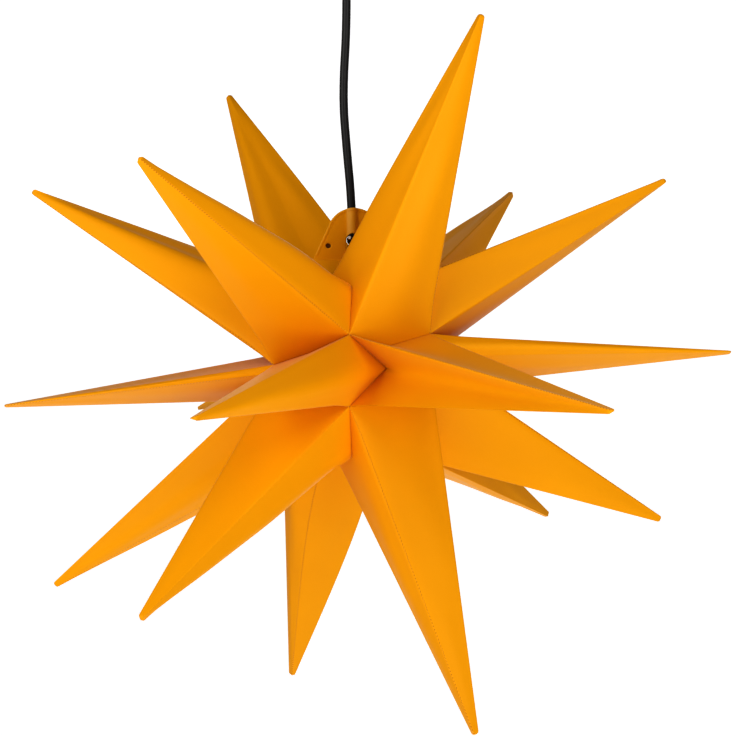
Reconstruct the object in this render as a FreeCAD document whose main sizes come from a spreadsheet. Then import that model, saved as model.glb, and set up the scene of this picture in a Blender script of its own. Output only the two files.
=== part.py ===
"""A hanging Christmas star of folded orange film with a bulb inside, below a ceiling fitting.

Millimetres and degrees. +Z is up. The origin is on the ceiling, at the middle of the fixing bracket.
The photograph looks along +Y. A bearing is counted from -Y, the side of the photograph, towards +X.
Eighteen hollow spikes stand on a six-sided hub in three rings of six. Each spike is two film panels,
folded once each and sewn to each other along two opposite edges. Two flaps close the hub round the cord.
"""
import FreeCAD
import Part
import Sketcher
import math
import os

Vector = FreeCAD.Vector
doc = FreeCAD.newDocument("christmas_star")
sheet = doc.addObject("Spreadsheet::Sheet", "Sizes")

SIZES = [
    # the star as a whole, and where it hangs
    ("star_drop", 375.0),
    ("star_offset", -3.1),
    ("star_lean", 1.7),
    ("spike_length", 300.0),
    ("tip_radius", 3.0),
    ("film_thickness", 0.5),
    ("seam_gap", 0.12),
    # the corners of the hub, on which the spikes stand
    ("hub_radius", 69.0),
    ("hub_top", 34.0),
    ("hub_bottom", 21.0),
    ("top_ring_radius", 44.0),
    ("top_ring_height", 67.5),
    ("bottom_ring_radius", 34.8),
    ("bottom_ring_depth", 54.0),
    ("knee_radius", 58.5),
    # the flaps that close the top
    ("flap_gap", 0.35),
    ("ridge_rise", 24.5),
    ("ridge_height", "=top_ring_height + ridge_rise"),
    ("ridge_reach", 32.5),
    ("ear_foot_reach", 32.0),
    ("ear_radius", 21.2),
    ("ear_centre_rise", 19.3),
    ("ear_centre_height", "=ridge_height + ear_centre_rise"),
    ("ear_half_gap", 0.25),
    ("lace_hole_radius", 2.0),
    ("lace_hole_reach", 20.0),
    ("lace_hole_rise", 11.0),
    ("lace_hole_height", "=ridge_height + lace_hole_rise"),
    # the cord and its stop
    ("cord_radius", 3.3),
    ("cord_fit", 0.05),
    ("channel_clearance", 0.5),
    ("lamp_offset", -0.9),
    ("stop_rise", 15.5),
    ("stop_height", "=ridge_height + stop_rise"),
    ("stop_radius", 4.6),
    ("stop_front", 5.3),
    ("stop_back", 4.6),
    ("stop_clearance", 0.3),
    ("stop_slot_drop", 6.0),
    ("stop_screw_radius", 1.5),
    ("stop_screw_fit", 0.02),
    ("stop_screw_proud", 0.3),
    # the lampholder
    ("holder_radius", 17.0),
    ("holder_neck_radius", 6.0),
    ("lead_run", 20.5),
    ("holder_cap_top", "=stop_height - lead_run"),
    ("holder_neck_length", 7.0),
    ("holder_shoulder", "=holder_cap_top - holder_neck_length"),
    ("holder_slope_length", 12.0),
    ("holder_rim_top", "=holder_shoulder - holder_slope_length"),
    ("holder_rim_length", 8.0),
    ("holder_joint", "=holder_rim_top - holder_rim_length"),
    ("holder_cap_wall", 2.0),
    ("holder_floor", 4.0),
    ("holder_shell_length", 30.0),
    ("holder_bottom", "=holder_joint - holder_shell_length"),
    ("sleeve_radius", 7.02),
    ("sleeve_wall", 0.5),
    ("sleeve_length", 20.0),
    ("sleeve_fit", 0.03),
    ("contact_radius", 4.0),
    ("contact_thickness", 0.8),
    ("contact_stem_radius", 1.9),
    ("contact_stem_length", 5.0),
    ("seal_radius", 11.0),
    ("seal_width", 2.0),
    ("seal_height", 4.0),
    ("seal_lip", 1.0),
    # the bulb
    ("bulb_cap_radius", 6.95),
    ("bulb_cap_wall", 0.5),
    ("bulb_cap_length", 19.0),
    ("bulb_tip_radius", 2.4),
    ("bulb_tip_height", 1.5),
    ("bulb_tip_clearance", 0.1),
    ("bulb_neck_radius", 8.7),
    ("bulb_neck_length", 8.0),
    ("bulb_flare_length", 12.0),
    ("bulb_rim_radius", 17.0),
    ("bulb_rim_height", 2.5),
    ("bulb_wall", 1.2),
    ("bulb_fit", 0.05),
    ("globe_radius", 22.5),
    ("globe_wall", 1.0),
    ("board_thickness", 1.6),
    ("chip_width", 2.8),
    ("chip_height", 0.8),
    ("chip_ring_radius", 9.0),
    # the disc that closes the bottom
    ("drain_radius", 4.0),
    # the ceiling fitting
    ("canopy_radius", 50.0),
    ("canopy_wall", 2.0),
    ("tab_clearance", 2.0),
    ("bracket_reach", "=canopy_radius - canopy_wall - tab_clearance"),
    ("bracket_width", 20.0),
    ("bracket_thickness", 2.0),
    ("fixing_spacing", 60.0),
    ("fixing_radius", 2.25),
    ("tab_drop", 14.0),
    ("canopy_height", 55.0),
    ("canopy_shoulder", 14.0),
    ("canopy_gap", 0.5),
    ("side_screw_drop", 9.0),
    ("side_screw_radius", 1.6),
    ("side_screw_clearance", 0.3),
    ("side_screw_inset", 5.0),
    ("side_screw_head_radius", 3.5),
    ("side_screw_head_height", 2.2),
    ("grip_radius", 11.0),
    ("grip_flange", 4.0),
    ("grip_nose", 10.0),
    ("grip_nose_radius", 5.2),
    ("grip_mouth_depth", 2.5),
    ("grip_mouth_flare", 0.6),
    ("grip_thread_radius", 5.0),
    ("grip_thread_length", 8.0),
    ("grip_clearance", 0.1),
    ("nut_radius", 8.6),
    ("nut_height", 4.0),
    ("block_length", 24.0),
    ("block_width", 14.0),
    ("block_height", 13.0),
    ("block_peg_radius", 2.9),
    ("block_bore_radius", 1.2),
    ("block_bore_reach", 6.0),
    ("block_screw_radius", 1.5),
    ("block_screw_reach", 4.0),
    ("core_radius", 0.9),
    ("core_spacing", 1.5),
    ("core_grip", 3.5),
    ("tail_stub", 5.0),
    # where the hanging cord bends, as the photograph shows it: across, towards the back, and down
    ("bend_1_across", -0.4),
    ("bend_1_depth", 0.0),
    ("bend_1_drop", 98.0),
    ("bend_2_across", -5.5),
    ("bend_2_depth", 1.5),
    ("bend_2_drop", 155.0),
    ("bend_3_across", -3.5),
    ("bend_3_depth", 0.8),
    ("bend_3_drop", 197.0),
    ("bend_4_drop", 236.0),
]

for row, (alias, value) in enumerate(SIZES, 1):
    sheet.set(f"A{row}", alias)
    sheet.set(f"B{row}", str(value))
    sheet.setAlias(f"B{row}", alias)
doc.recompute()


def size(alias):
    """The number in a named cell of the sheet."""
    return float(sheet.get(alias))


CORNERS = 6
HALF = 0.5
FULL_TURN = 360.0
STEP = FULL_TURN / CORNERS
sub_parts = []


def keep(item, label):
    """Names a finished sub-part, which gives its file its name."""
    item.Label = label
    sub_parts.append(item)
    return item


# The hub. Corner 0 is the left one of the front spike, and the others follow every sixth of a turn.
CORNER_BEARING = -62.5
RING_BEARING = -90.0
KNEE_TURN = 1.5
CORNER_HEIGHT_SHARES = (0.30, 0.97, 1.00, 0.48, 1.02, 0.59)
CORNER_DEPTH_SHARES = (-0.18, 1.0, -0.81, 0.43, 0.52, 0.86)
UPPER_KNEE_SHARES = (0.90, 1.02, 0.90, 0.90, 1.10, 0.90)
LOWER_KNEE_SHARES = (0.80, 1.14, 0.80, 0.80, 1.02, 0.80)
PINCH_HEIGHT_SHARE = 0.53
PINCH_TURNS = (0.0, 27.0, -10.0, 0.0, 20.0, -10.0)
CREASE_SAG_SHARES = (-0.06, -0.06, -0.26, -0.06, -0.06, -0.06)

# The eighteen spikes, from the left side of the photograph round by the front: where each one points,
# how far it rises, and its length as a share of the full length.
UPPER_BEARINGS = (-90.0, -34.0, 40.6, 95.1, 148.0, -144.4)
UPPER_RISES = (30.1, 30.1, 61.5, 32.3, 31.9, 52.3)
UPPER_LENGTH_SHARES = (0.958, 0.994, 1.001, 0.965, 1.007, 0.995)
MIDDLE_BEARINGS = (-87.0, -20.2, 35.4, 93.9, 154.0, -152.5)
MIDDLE_RISES = (-4.5, -4.8, -4.0, 3.9, 0.0, -5.3)
MIDDLE_LENGTH_SHARES = (0.897, 0.993, 0.999, 0.987, 1.000, 1.012)
LOWER_BEARINGS = (-93.0, -34.7, 36.0, 101.0, 142.7, -160.8)
LOWER_RISES = (-34.6, -32.8, -59.6, -24.4, -23.5, -57.1)
LOWER_LENGTH_SHARES = (0.945, 1.002, 0.988, 0.906, 1.003, 0.993)


# Where the star hangs. Its film parts are drawn round its own centre and put here, leaning a little.
HANGING = FreeCAD.Placement(Vector(size("star_offset"), 0, -size("star_drop")),
                            FreeCAD.Rotation(Vector(0, 1, 0), size("star_lean")))


def star_point(radius, bearing, height):
    """A point of the star from its distance to the axis, its bearing and its height over the centre."""
    turn = math.radians(bearing)
    return Vector(radius * math.sin(turn), -radius * math.cos(turn), height)


def between(first, second, share):
    """The point at a share of the way from one point to another."""
    return first + (second - first) * share


def hub_points():
    """The named corners and fold points of the hub, one list of six for each kind."""
    hub = {"high": [], "low": [], "top": [], "bottom": [], "knee": [], "low_knee": [], "pinch": []}
    for corner in range(CORNERS):
        bearing = CORNER_BEARING + STEP * corner
        ring_bearing = RING_BEARING + STEP * corner
        high = size("hub_top") * CORNER_HEIGHT_SHARES[corner]
        low = -size("hub_bottom") * CORNER_DEPTH_SHARES[corner]
        top = size("top_ring_height")
        bottom = -size("bottom_ring_depth")
        knee = high + (top - high) * UPPER_KNEE_SHARES[corner]
        low_knee = low + (bottom - low) * LOWER_KNEE_SHARES[corner]
        pinch = low + (high - low) * PINCH_HEIGHT_SHARE
        hub["high"].append(star_point(size("hub_radius"), bearing, high))
        hub["low"].append(star_point(size("hub_radius"), bearing, low))
        hub["top"].append(star_point(size("top_ring_radius"), ring_bearing, top))
        hub["bottom"].append(star_point(size("bottom_ring_radius"), ring_bearing, bottom))
        hub["knee"].append(star_point(size("knee_radius"), bearing + KNEE_TURN, knee))
        hub["low_knee"].append(star_point(size("knee_radius"), bearing + KNEE_TURN, low_knee))
        hub["pinch"].append(star_point(size("hub_radius"), bearing + PINCH_TURNS[corner], pinch))
    return hub


# The places round a spike's foot, seen from its tip, and the ones that each of its two panels takes in
FOOT_PLACES = ("below_left", "below", "below_right", "right", "above_right", "above", "above_left", "left")
LEFT_PANEL = ("below_right", "below", "below_left", "left", "above_left")
RIGHT_PANEL = ("below_right", "right", "above_right", "above", "above_left")


def foot(hub, ring, number):
    """The eight points of a spike's foot, in the order of the foot places."""
    left = (number + CORNERS - 1) % CORNERS
    right = number
    sag = Vector(0, 0, size("hub_top") * CREASE_SAG_SHARES[number])
    high_crease = between(hub["high"][left], hub["high"][right], HALF) + sag
    low_crease = between(hub["low"][left], hub["low"][right], HALF)
    if ring == "upper":
        names = ("high", "knee", "top")
        lower_middle = high_crease
        upper_middle = between(hub["top"][left], hub["top"][right], HALF)
    elif ring == "middle":
        names = ("low", "pinch", "high")
        lower_middle = low_crease
        upper_middle = high_crease
    else:
        names = ("bottom", "low_knee", "low")
        lower_middle = between(hub["bottom"][left], hub["bottom"][right], HALF)
        upper_middle = low_crease
    below, side, above = names
    return [hub[below][left], lower_middle, hub[below][right], hub[side][right],
            hub[above][right], upper_middle, hub[above][left], hub[side][left]]


def tip_ring(base, tip, radius):
    """The eight points of a spike's small cut end: its corners square to the spike, the rest midway."""
    centre = sum(base[0::2], Vector()) * (1 / len(base[0::2]))
    axis = (tip - centre).normalize()
    corners = []
    for point in base[0::2]:
        side = point - centre
        side = side - axis * side.dot(axis)
        corners.append(tip + side.normalize() * radius)
    ring = []
    for index, corner in enumerate(corners):
        ring.append(corner)
        ring.append(between(corner, corners[(index + 1) % len(corners)], HALF))
    return ring


def corner_offsets(base, tip):
    """For each edge line of a spike, the way to its inside for a film of unit thickness."""
    count = len(base)
    normals = []
    for index in range(count):
        side = base[(index + 1) % count] - base[index]
        normals.append(side.cross(tip - base[index]).normalize())
    offsets = []
    for index in range(count):
        before = normals[index - 1]
        after = normals[index]
        offsets.append((before + after) * (1 / (1 + before.dot(after))))
    return offsets


def film_solid(outer, inner):
    """A closed film between two grids of points, as flat three-cornered faces."""
    rows = len(outer)
    columns = len(outer[0])
    corners = []
    for grid, flip in ((outer, False), (inner, True)):
        for row in range(rows - 1):
            for column in range(columns - 1):
                a = grid[row][column]
                b = grid[row][column + 1]
                c = grid[row + 1][column + 1]
                d = grid[row + 1][column]
                cell = [(a, b, c), (a, c, d)]
                corners += [(p, r, q) for p, q, r in cell] if flip else cell
    loop = [(0, column) for column in range(columns)]
    loop += [(row, columns - 1) for row in range(1, rows)]
    loop += [(rows - 1, column) for column in range(columns - 2, -1, -1)]
    loop += [(row, 0) for row in range(rows - 2, 0, -1)]
    for index, (row, column) in enumerate(loop):
        next_row, next_column = loop[(index + 1) % len(loop)]
        a = outer[row][column]
        b = outer[next_row][next_column]
        c = inner[next_row][next_column]
        d = inner[row][column]
        corners += [(a, d, c), (a, c, b)]
    faces = []
    for a, b, c in corners:
        faces.append(Part.Face(Part.makePolygon([a, b, c, a])))
    solid = Part.makeSolid(Part.makeShell(faces))
    if solid.Volume < 0:
        solid.reverse()
    return solid


def film_panel(base, tip, places):
    """Half a spike: the film along the given edge lines, from one seam over the fold to the other."""
    film = size("film_thickness")
    gap = size("seam_gap")
    ends = tip_ring(base, tip, size("tip_radius"))
    narrowing = 1 - film * math.sqrt(2) / size("tip_radius")
    offsets = corner_offsets(base, tip)
    outer = [[], []]
    inner = [[], []]
    for place_name in places:
        column = FOOT_PLACES.index(place_name)
        start = base[column]
        end = ends[column]
        along = (end - start).normalize()
        start_in = start - offsets[column] * film
        end_in = tip + (end - tip) * narrowing
        outer[0].append(start + along * gap)
        outer[1].append(end)
        inner[0].append(start_in + along * gap)
        inner[1].append(end_in)
    for grid in (outer, inner):
        for row in grid:
            first = (row[1] - row[0]).normalize() * gap
            last = (row[-2] - row[-1]).normalize() * gap
            row[0] = row[0] + first
            row[-1] = row[-1] + last
    return film_solid(outer, inner)


def feature(label, shape, placement=FreeCAD.Placement()):
    """A sub-part whose shape is worked out here. Its sizes come from the sheet."""
    item = doc.addObject("Part::Feature", label)
    item.Shape = shape
    item.Placement = placement
    return keep(item, label)


# The film spikes, two panels each
hub = hub_points()
RINGS = (("upper", UPPER_BEARINGS, UPPER_RISES, UPPER_LENGTH_SHARES),
         ("middle", MIDDLE_BEARINGS, MIDDLE_RISES, MIDDLE_LENGTH_SHARES),
         ("lower", LOWER_BEARINGS, LOWER_RISES, LOWER_LENGTH_SHARES))
for ring, bearings, rises, length_shares in RINGS:
    for number in range(CORNERS):
        rise = math.radians(rises[number])
        length = size("spike_length") * length_shares[number]
        tip = star_point(length * math.cos(rise), bearings[number], length * math.sin(rise))
        base = foot(hub, ring, number)
        for side, places in (("left", LEFT_PANEL), ("right", RIGHT_PANEL)):
            feature(f"{ring}_spike_{number + 1}_{side}_panel", film_panel(base, tip, places), HANGING)


RIDGE_SHARES = (-1.0, -0.6, 0.6, 1.0)


def skirt(facing):
    """The slanting part of a flap, from three edges of the top ring up to the ridge."""
    film = size("film_thickness")
    gap = size("ear_half_gap")
    ring = []
    for point in hub["top"]:
        if point.y * facing > -film:
            ring.append(Vector(point.x, facing * max(gap, point.y * facing), point.z))
    ring.sort(key=lambda point: point.x)
    ends = []
    for share in RIDGE_SHARES:
        ends.append(Vector(size("ridge_reach") * share, facing * (gap + film * HALF), size("ridge_height")))
    start = [low + (high - low).normalize() * size("flap_gap") for low, high in zip(ring, ends)]
    normals = []
    for index in range(len(ring) - 1):
        face = (start[index + 1] - start[index]).cross(ends[index] - start[index]).normalize()
        normals.append(face if face.z > 0 else face * -1)
    sides = [normals[0]] + [(a + b) * (1 / (1 + a.dot(b))) for a, b in zip(normals, normals[1:])]
    sides.append(normals[-1])
    rows = []
    for row in (start, ends):
        shifted = [point - side * film for point, side in zip(row, sides)]
        rows.append([Vector(point.x, facing * max(gap, point.y * facing), point.z) for point in shifted])
    return film_solid([start, ends], rows)


def slab(facing, thickness, wide, low, high):
    """An upright plate on one side of the middle plane, for the ear or what trims it."""
    gap = size("ear_half_gap")
    near = min(facing * gap, facing * (gap + thickness))
    return Part.makeBox(2 * wide, thickness, high - low, Vector(-wide, near, low))


def ear_outline(low, depth):
    """A solid with the ear's outline: a round top and two straight sides that touch it, down to the ridge."""
    radius = size("ear_radius")
    middle = size("ear_centre_height")
    reach = size("ear_foot_reach")
    drop = middle - low
    lean = math.atan2(drop, reach) - math.acos(radius / math.hypot(reach, drop))
    side = Vector(radius * math.cos(lean), 0, middle - radius * math.sin(lean))
    points = [Vector(-reach, 0, low), Vector(reach, 0, low), side,
              Vector(0, 0, middle + radius), Vector(-side.x, 0, side.z)]
    edges = [Part.LineSegment(points[4], points[0]).toShape(),
             Part.LineSegment(points[0], points[1]).toShape(),
             Part.LineSegment(points[1], points[2]).toShape(),
             Part.Arc(points[2], points[3], points[4]).toShape()]
    face = Part.Face(Part.Wire(edges))
    face.translate(Vector(0, -depth, 0))
    return face.extrude(Vector(0, 2 * depth, 0))


def flap(label, facing):
    """A closing flap: a skirt from the top ring up to the ridge, and the round ear standing on it.

    The front flap faces -1 along Y and the rear one +1. The ear bulges round the cord, is slotted
    for the stop and has a small lace hole on each side.
    """
    film = size("film_thickness")
    low = size("ridge_height") - film
    high = size("ear_centre_height") + size("ear_radius")
    wide = size("ear_foot_reach")
    tall = high - low
    from_frame = HANGING.inverse()
    stop = from_frame.multVec(Vector(size("lamp_offset"), 0, size("stop_height") - size("star_drop")))
    plumb = from_frame.Rotation.multVec(Vector(0, 0, 1))
    foot_point = stop - plumb * tall
    channel = size("cord_radius") + size("channel_clearance")
    tube = Part.makeCylinder(channel + film, 2 * tall, foot_point, plumb)
    ear = slab(facing, film, wide, low, high).fuse(tube.common(slab(facing, wide, wide, low, high)))
    whole = skirt(facing).fuse(ear.common(ear_outline(low, wide)))
    # the way for the cord
    whole = whole.cut(Part.makeCylinder(channel, 2 * tall, foot_point, plumb))
    # the slot for the stop, long enough for the ear to swing off over it
    hole = size("stop_radius") + size("stop_clearance")
    across = Vector(0, 1, 0)
    seat = Vector(stop.x, -wide, stop.z)
    drop = size("stop_slot_drop")
    slot = Part.makeCylinder(hole, 2 * wide, seat, across)
    slot = slot.fuse(Part.makeCylinder(hole, 2 * wide, seat - Vector(0, 0, drop), across))
    slot = slot.fuse(Part.makeBox(2 * hole, 2 * wide, drop, seat - Vector(hole, 0, drop)))
    whole = whole.cut(slot)
    # the lace holes
    for side in (-1, 1):
        start = Vector(side * size("lace_hole_reach"), -wide, size("lace_hole_height"))
        whole = whole.cut(Part.makeCylinder(size("lace_hole_radius"), 2 * wide, start, across))
    return feature(label, whole.removeSplitter(), HANGING)


flap("front_flap", -1)
flap("rear_flap", 1)


def place(item, x="0", y="0", z="0", turn=None):
    """Puts an object at a place that follows the sheet."""
    if turn is not None:
        item.Placement = FreeCAD.Placement(Vector(), turn)
    item.setExpression("Placement.Base.x", x)
    item.setExpression("Placement.Base.y", y)
    item.setExpression("Placement.Base.z", z)
    return item


ALONG_X = FreeCAD.Rotation(Vector(0, 0, 1), Vector(1, 0, 0))
ALONG_Y = FreeCAD.Rotation(Vector(0, 0, 1), Vector(0, 1, 0))
LAMP_X = "Sizes.lamp_offset"
STAR_Z = "-Sizes.star_drop"


def cylinder(name, radius, height, x="0", y="0", z="0", turn=None):
    """A round bar whose sizes and place follow the sheet."""
    item = doc.addObject("Part::Cylinder", name)
    item.setExpression("Radius", radius)
    item.setExpression("Height", height)
    return place(item, x, y, z, turn)


def box(name, length, width, height, x="0", y="0", z="0"):
    """A block whose sizes and place follow the sheet."""
    item = doc.addObject("Part::Box", name)
    item.setExpression("Length", length)
    item.setExpression("Width", width)
    item.setExpression("Height", height)
    return place(item, x, y, z)


def cut(name, base, tool):
    """One object with another taken out of it."""
    item = doc.addObject("Part::Cut", name)
    item.Base = base
    item.Tool = tool
    return item


def fuse(name, items):
    """Several objects grown into one."""
    item = doc.addObject("Part::MultiFuse", name)
    item.Shapes = items
    return item


def group(name, items):
    """Several like pieces kept as separate solids of one sub-part."""
    item = doc.addObject("Part::Compound", name)
    item.Links = items
    return item


def origin_plane(body, role):
    """One of a body's own planes."""
    return next(plane for plane in body.Origin.OriginFeatures if plane.Role == role)


def new_sketch(body, name, role):
    """An empty sketch on one of the body's own planes."""
    sketch = body.newObject("Sketcher::SketchObject", name)
    sketch.AttachmentSupport = [(origin_plane(body, role), "")]
    sketch.MapMode = "FlatFace"
    return sketch


def bind(sketch, kind, index, formula):
    """Ties one corner's distance from the sketch's origin to the sheet."""
    if formula == "0":
        axis = -2 if kind == "DistanceX" else -1
        sketch.addConstraint(Sketcher.Constraint("PointOnObject", index, 1, axis))
        return
    first_guess = float(index + 1)
    number = sketch.addConstraint(Sketcher.Constraint(kind, -1, 1, index, 1, first_guess))
    name = kind + str(index)
    sketch.renameConstraint(number, name)
    sketch.setExpression("Constraints." + name, formula)


def outline(sketch, points):
    """A closed outline of straight lines through points that follow the sheet."""
    start = sketch.GeometryCount
    count = len(points)
    for index in range(count):
        angle = 2 * math.pi * index / count
        next_angle = 2 * math.pi * (index + 1) / count
        here = Vector(count * math.cos(angle), count * math.sin(angle), 0)
        there = Vector(count * math.cos(next_angle), count * math.sin(next_angle), 0)
        sketch.addGeometry(Part.LineSegment(here, there), False)
    for index in range(count):
        follower = start + (index + 1) % count
        sketch.addConstraint(Sketcher.Constraint("Coincident", start + index, 2, follower, 1))
    for index, (across, up) in enumerate(points):
        bind(sketch, "DistanceX", start + index, across)
        bind(sketch, "DistanceY", start + index, up)


def ring_of(sketch, across, up, radius):
    """A circle whose centre and radius follow the sheet."""
    index = sketch.addGeometry(Part.Circle(Vector(1, 1, 0), Vector(0, 0, 1), 1), False)
    for kind, formula, axis in (("DistanceX", across, -2), ("DistanceY", up, -1)):
        if formula == "0":
            sketch.addConstraint(Sketcher.Constraint("PointOnObject", index, 3, axis))
        else:
            number = sketch.addConstraint(Sketcher.Constraint(kind, -1, 1, index, 3, 1.0))
            sketch.renameConstraint(number, kind + str(index))
            sketch.setExpression("Constraints." + kind + str(index), formula)
    number = sketch.addConstraint(Sketcher.Constraint("Radius", index, 1.0))
    sketch.renameConstraint(number, "Radius" + str(index))
    sketch.setExpression("Constraints.Radius" + str(index), radius)


def turned(label, points, x="0", z="0"):
    """A body turned about its own upright axis. Points are radius and height, as formulas."""
    body = doc.addObject("PartDesign::Body", label)
    sketch = new_sketch(body, label + "_outline", "XZ_Plane")
    outline(sketch, points)
    doc.recompute()
    spin = body.newObject("PartDesign::Revolution", label + "_turn")
    spin.Profile = sketch
    spin.ReferenceAxis = (sketch, ["V_Axis"])
    spin.Angle = FULL_TURN
    body.Tip = spin
    doc.recompute()
    place(body, x, "0", z)
    return body


# The film disc that closes the bottom of the hub, with a drain hole
disc = doc.addObject("Part::Prism", "bottom_sheet")
disc.Polygon = CORNERS
disc.setExpression("Circumradius", "Sizes.bottom_ring_radius - 2 * Sizes.flap_gap")
disc.setExpression("Height", "Sizes.film_thickness")
place(disc, "0", "0", "-Sizes.bottom_ring_depth")
drain = cylinder("drain", "Sizes.drain_radius", "3 * Sizes.film_thickness",
                 "0", "0", "-Sizes.bottom_ring_depth - Sizes.film_thickness")
bottom_panel = keep(cut("bottom_panel_cut", disc, drain), "bottom_panel")
place(bottom_panel, "Sizes.star_offset", "0", STAR_Z, HANGING.Rotation)

# The stop, a cross-drilled barrel clamped on the cord, on which the ears of both flaps hang
barrel = cylinder("stop_barrel", "Sizes.stop_radius", "Sizes.stop_front + Sizes.stop_back",
                  LAMP_X, "-Sizes.stop_front", STAR_Z + " + Sizes.stop_height", ALONG_Y)
barrel_bore = cylinder("stop_bore", "Sizes.cord_radius + Sizes.cord_fit", "4 * Sizes.stop_radius",
                       LAMP_X, "0", STAR_Z + " + Sizes.stop_height - 2 * Sizes.stop_radius")
screw_bore = cylinder("stop_screw_bore", "Sizes.stop_screw_radius + Sizes.stop_screw_fit",
                      "Sizes.stop_front", LAMP_X, "-Sizes.stop_front",
                      STAR_Z + " + Sizes.stop_height", ALONG_Y)
drilled = cut("stop_drilled", barrel, barrel_bore)
keep(cut("stop_cut", drilled, screw_bore), "cord_stop")
keep(cylinder("stop_clamp_screw", "Sizes.stop_screw_radius",
              "Sizes.stop_front + Sizes.stop_screw_proud - Sizes.cord_radius - 2 * Sizes.cord_fit",
              LAMP_X, "-Sizes.stop_front - Sizes.stop_screw_proud",
              STAR_Z + " + Sizes.stop_height", ALONG_Y), "stop_screw")

# The lead from the stop down into the lampholder
keep(cylinder("lead", "Sizes.cord_radius", "Sizes.stop_height - Sizes.holder_rim_top",
              LAMP_X, "0", STAR_Z + " + Sizes.holder_rim_top"), "lamp_lead")

# The lampholder's cap, hollow, with a neck that grips the lead
keep(turned("holder_cap_body", [
    ("Sizes.cord_radius + Sizes.cord_fit", "Sizes.holder_cap_top"),
    ("Sizes.holder_neck_radius", "Sizes.holder_cap_top"),
    ("Sizes.holder_neck_radius + Sizes.holder_cap_wall", "Sizes.holder_shoulder"),
    ("Sizes.holder_radius", "Sizes.holder_rim_top"),
    ("Sizes.holder_radius", "Sizes.holder_joint"),
    ("Sizes.holder_radius - Sizes.holder_cap_wall", "Sizes.holder_joint"),
    ("Sizes.holder_radius - Sizes.holder_cap_wall", "Sizes.holder_rim_top - Sizes.holder_cap_wall"),
    ("Sizes.holder_neck_radius", "Sizes.holder_rim_top + Sizes.holder_cap_wall"),
    ("Sizes.cord_radius + Sizes.cord_fit", "Sizes.holder_rim_top + Sizes.holder_cap_wall"),
], LAMP_X, STAR_Z), "holder_cap")

# The lampholder's shell: a floor for the centre contact, a bore for the sleeve, a mouth for the seal
SLEEVE_BORE = "Sizes.sleeve_radius + Sizes.sleeve_wall + Sizes.sleeve_fit"
SEAL_BORE = "Sizes.seal_radius + Sizes.sleeve_fit"
SEAL_TOP = "Sizes.holder_bottom + Sizes.seal_lip + Sizes.seal_height"
keep(turned("holder_shell_body", [
    ("Sizes.contact_stem_radius + Sizes.sleeve_fit", "Sizes.holder_joint"),
    ("Sizes.holder_radius", "Sizes.holder_joint"),
    ("Sizes.holder_radius", "Sizes.holder_bottom + Sizes.seal_height"),
    ("Sizes.holder_radius - Sizes.holder_cap_wall", "Sizes.holder_bottom"),
    (SEAL_BORE, "Sizes.holder_bottom"),
    (SEAL_BORE, SEAL_TOP),
    (SLEEVE_BORE, SEAL_TOP),
    (SLEEVE_BORE, "Sizes.holder_joint - Sizes.holder_floor"),
    ("Sizes.contact_stem_radius + Sizes.sleeve_fit", "Sizes.holder_joint - Sizes.holder_floor"),
], LAMP_X, STAR_Z), "holder_shell")

# The screw sleeve of the lampholder
SLEEVE_TOP = "(Sizes.holder_joint - Sizes.holder_floor - Sizes.contact_thickness)"
keep(turned("sleeve_body", [
    ("Sizes.sleeve_radius", SLEEVE_TOP),
    ("Sizes.sleeve_radius + Sizes.sleeve_wall", SLEEVE_TOP),
    ("Sizes.sleeve_radius + Sizes.sleeve_wall", SLEEVE_TOP + " - Sizes.sleeve_length"),
    ("Sizes.sleeve_radius", SLEEVE_TOP + " - Sizes.sleeve_length"),
], LAMP_X, STAR_Z), "contact_sleeve")

# The centre contact: a disc under the floor with a riveted stem
keep(turned("contact_body", [
    ("0", "Sizes.holder_joint - Sizes.holder_floor + Sizes.contact_stem_length"),
    ("Sizes.contact_stem_radius", "Sizes.holder_joint - Sizes.holder_floor + Sizes.contact_stem_length"),
    ("Sizes.contact_stem_radius", "Sizes.holder_joint - Sizes.holder_floor"),
    ("Sizes.contact_radius", "Sizes.holder_joint - Sizes.holder_floor"),
    ("Sizes.contact_radius", SLEEVE_TOP),
    ("0", SLEEVE_TOP),
], LAMP_X, STAR_Z), "centre_contact")

# The rubber seal in the lampholder's mouth
SEAL_BASE = "Sizes.holder_bottom + Sizes.seal_lip"
keep(turned("seal_body", [
    ("Sizes.seal_radius - Sizes.seal_width", SEAL_TOP),
    ("Sizes.seal_radius", SEAL_TOP),
    ("Sizes.seal_radius", SEAL_BASE),
    ("Sizes.seal_radius - Sizes.seal_width", SEAL_BASE),
], LAMP_X, STAR_Z), "seal_ring")

# The bulb's threaded cap with its tip
TIP_TOP = "(" + SLEEVE_TOP + " - Sizes.bulb_tip_clearance)"
CAP_TOP = "(" + TIP_TOP + " - Sizes.bulb_tip_height)"
CAP_BASE = "(" + CAP_TOP + " - Sizes.bulb_cap_length)"
keep(turned("bulb_cap_body", [
    ("0", TIP_TOP),
    ("Sizes.bulb_tip_radius", TIP_TOP),
    ("Sizes.bulb_tip_radius + Sizes.bulb_tip_height", CAP_TOP),
    ("Sizes.bulb_cap_radius", CAP_TOP),
    ("Sizes.bulb_cap_radius", CAP_BASE),
    ("Sizes.bulb_cap_radius - Sizes.bulb_cap_wall", CAP_BASE),
    ("Sizes.bulb_cap_radius - Sizes.bulb_cap_wall", CAP_TOP + " - Sizes.bulb_tip_height"),
    ("0", CAP_TOP + " - Sizes.bulb_tip_height"),
], LAMP_X, STAR_Z), "bulb_cap")

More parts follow.
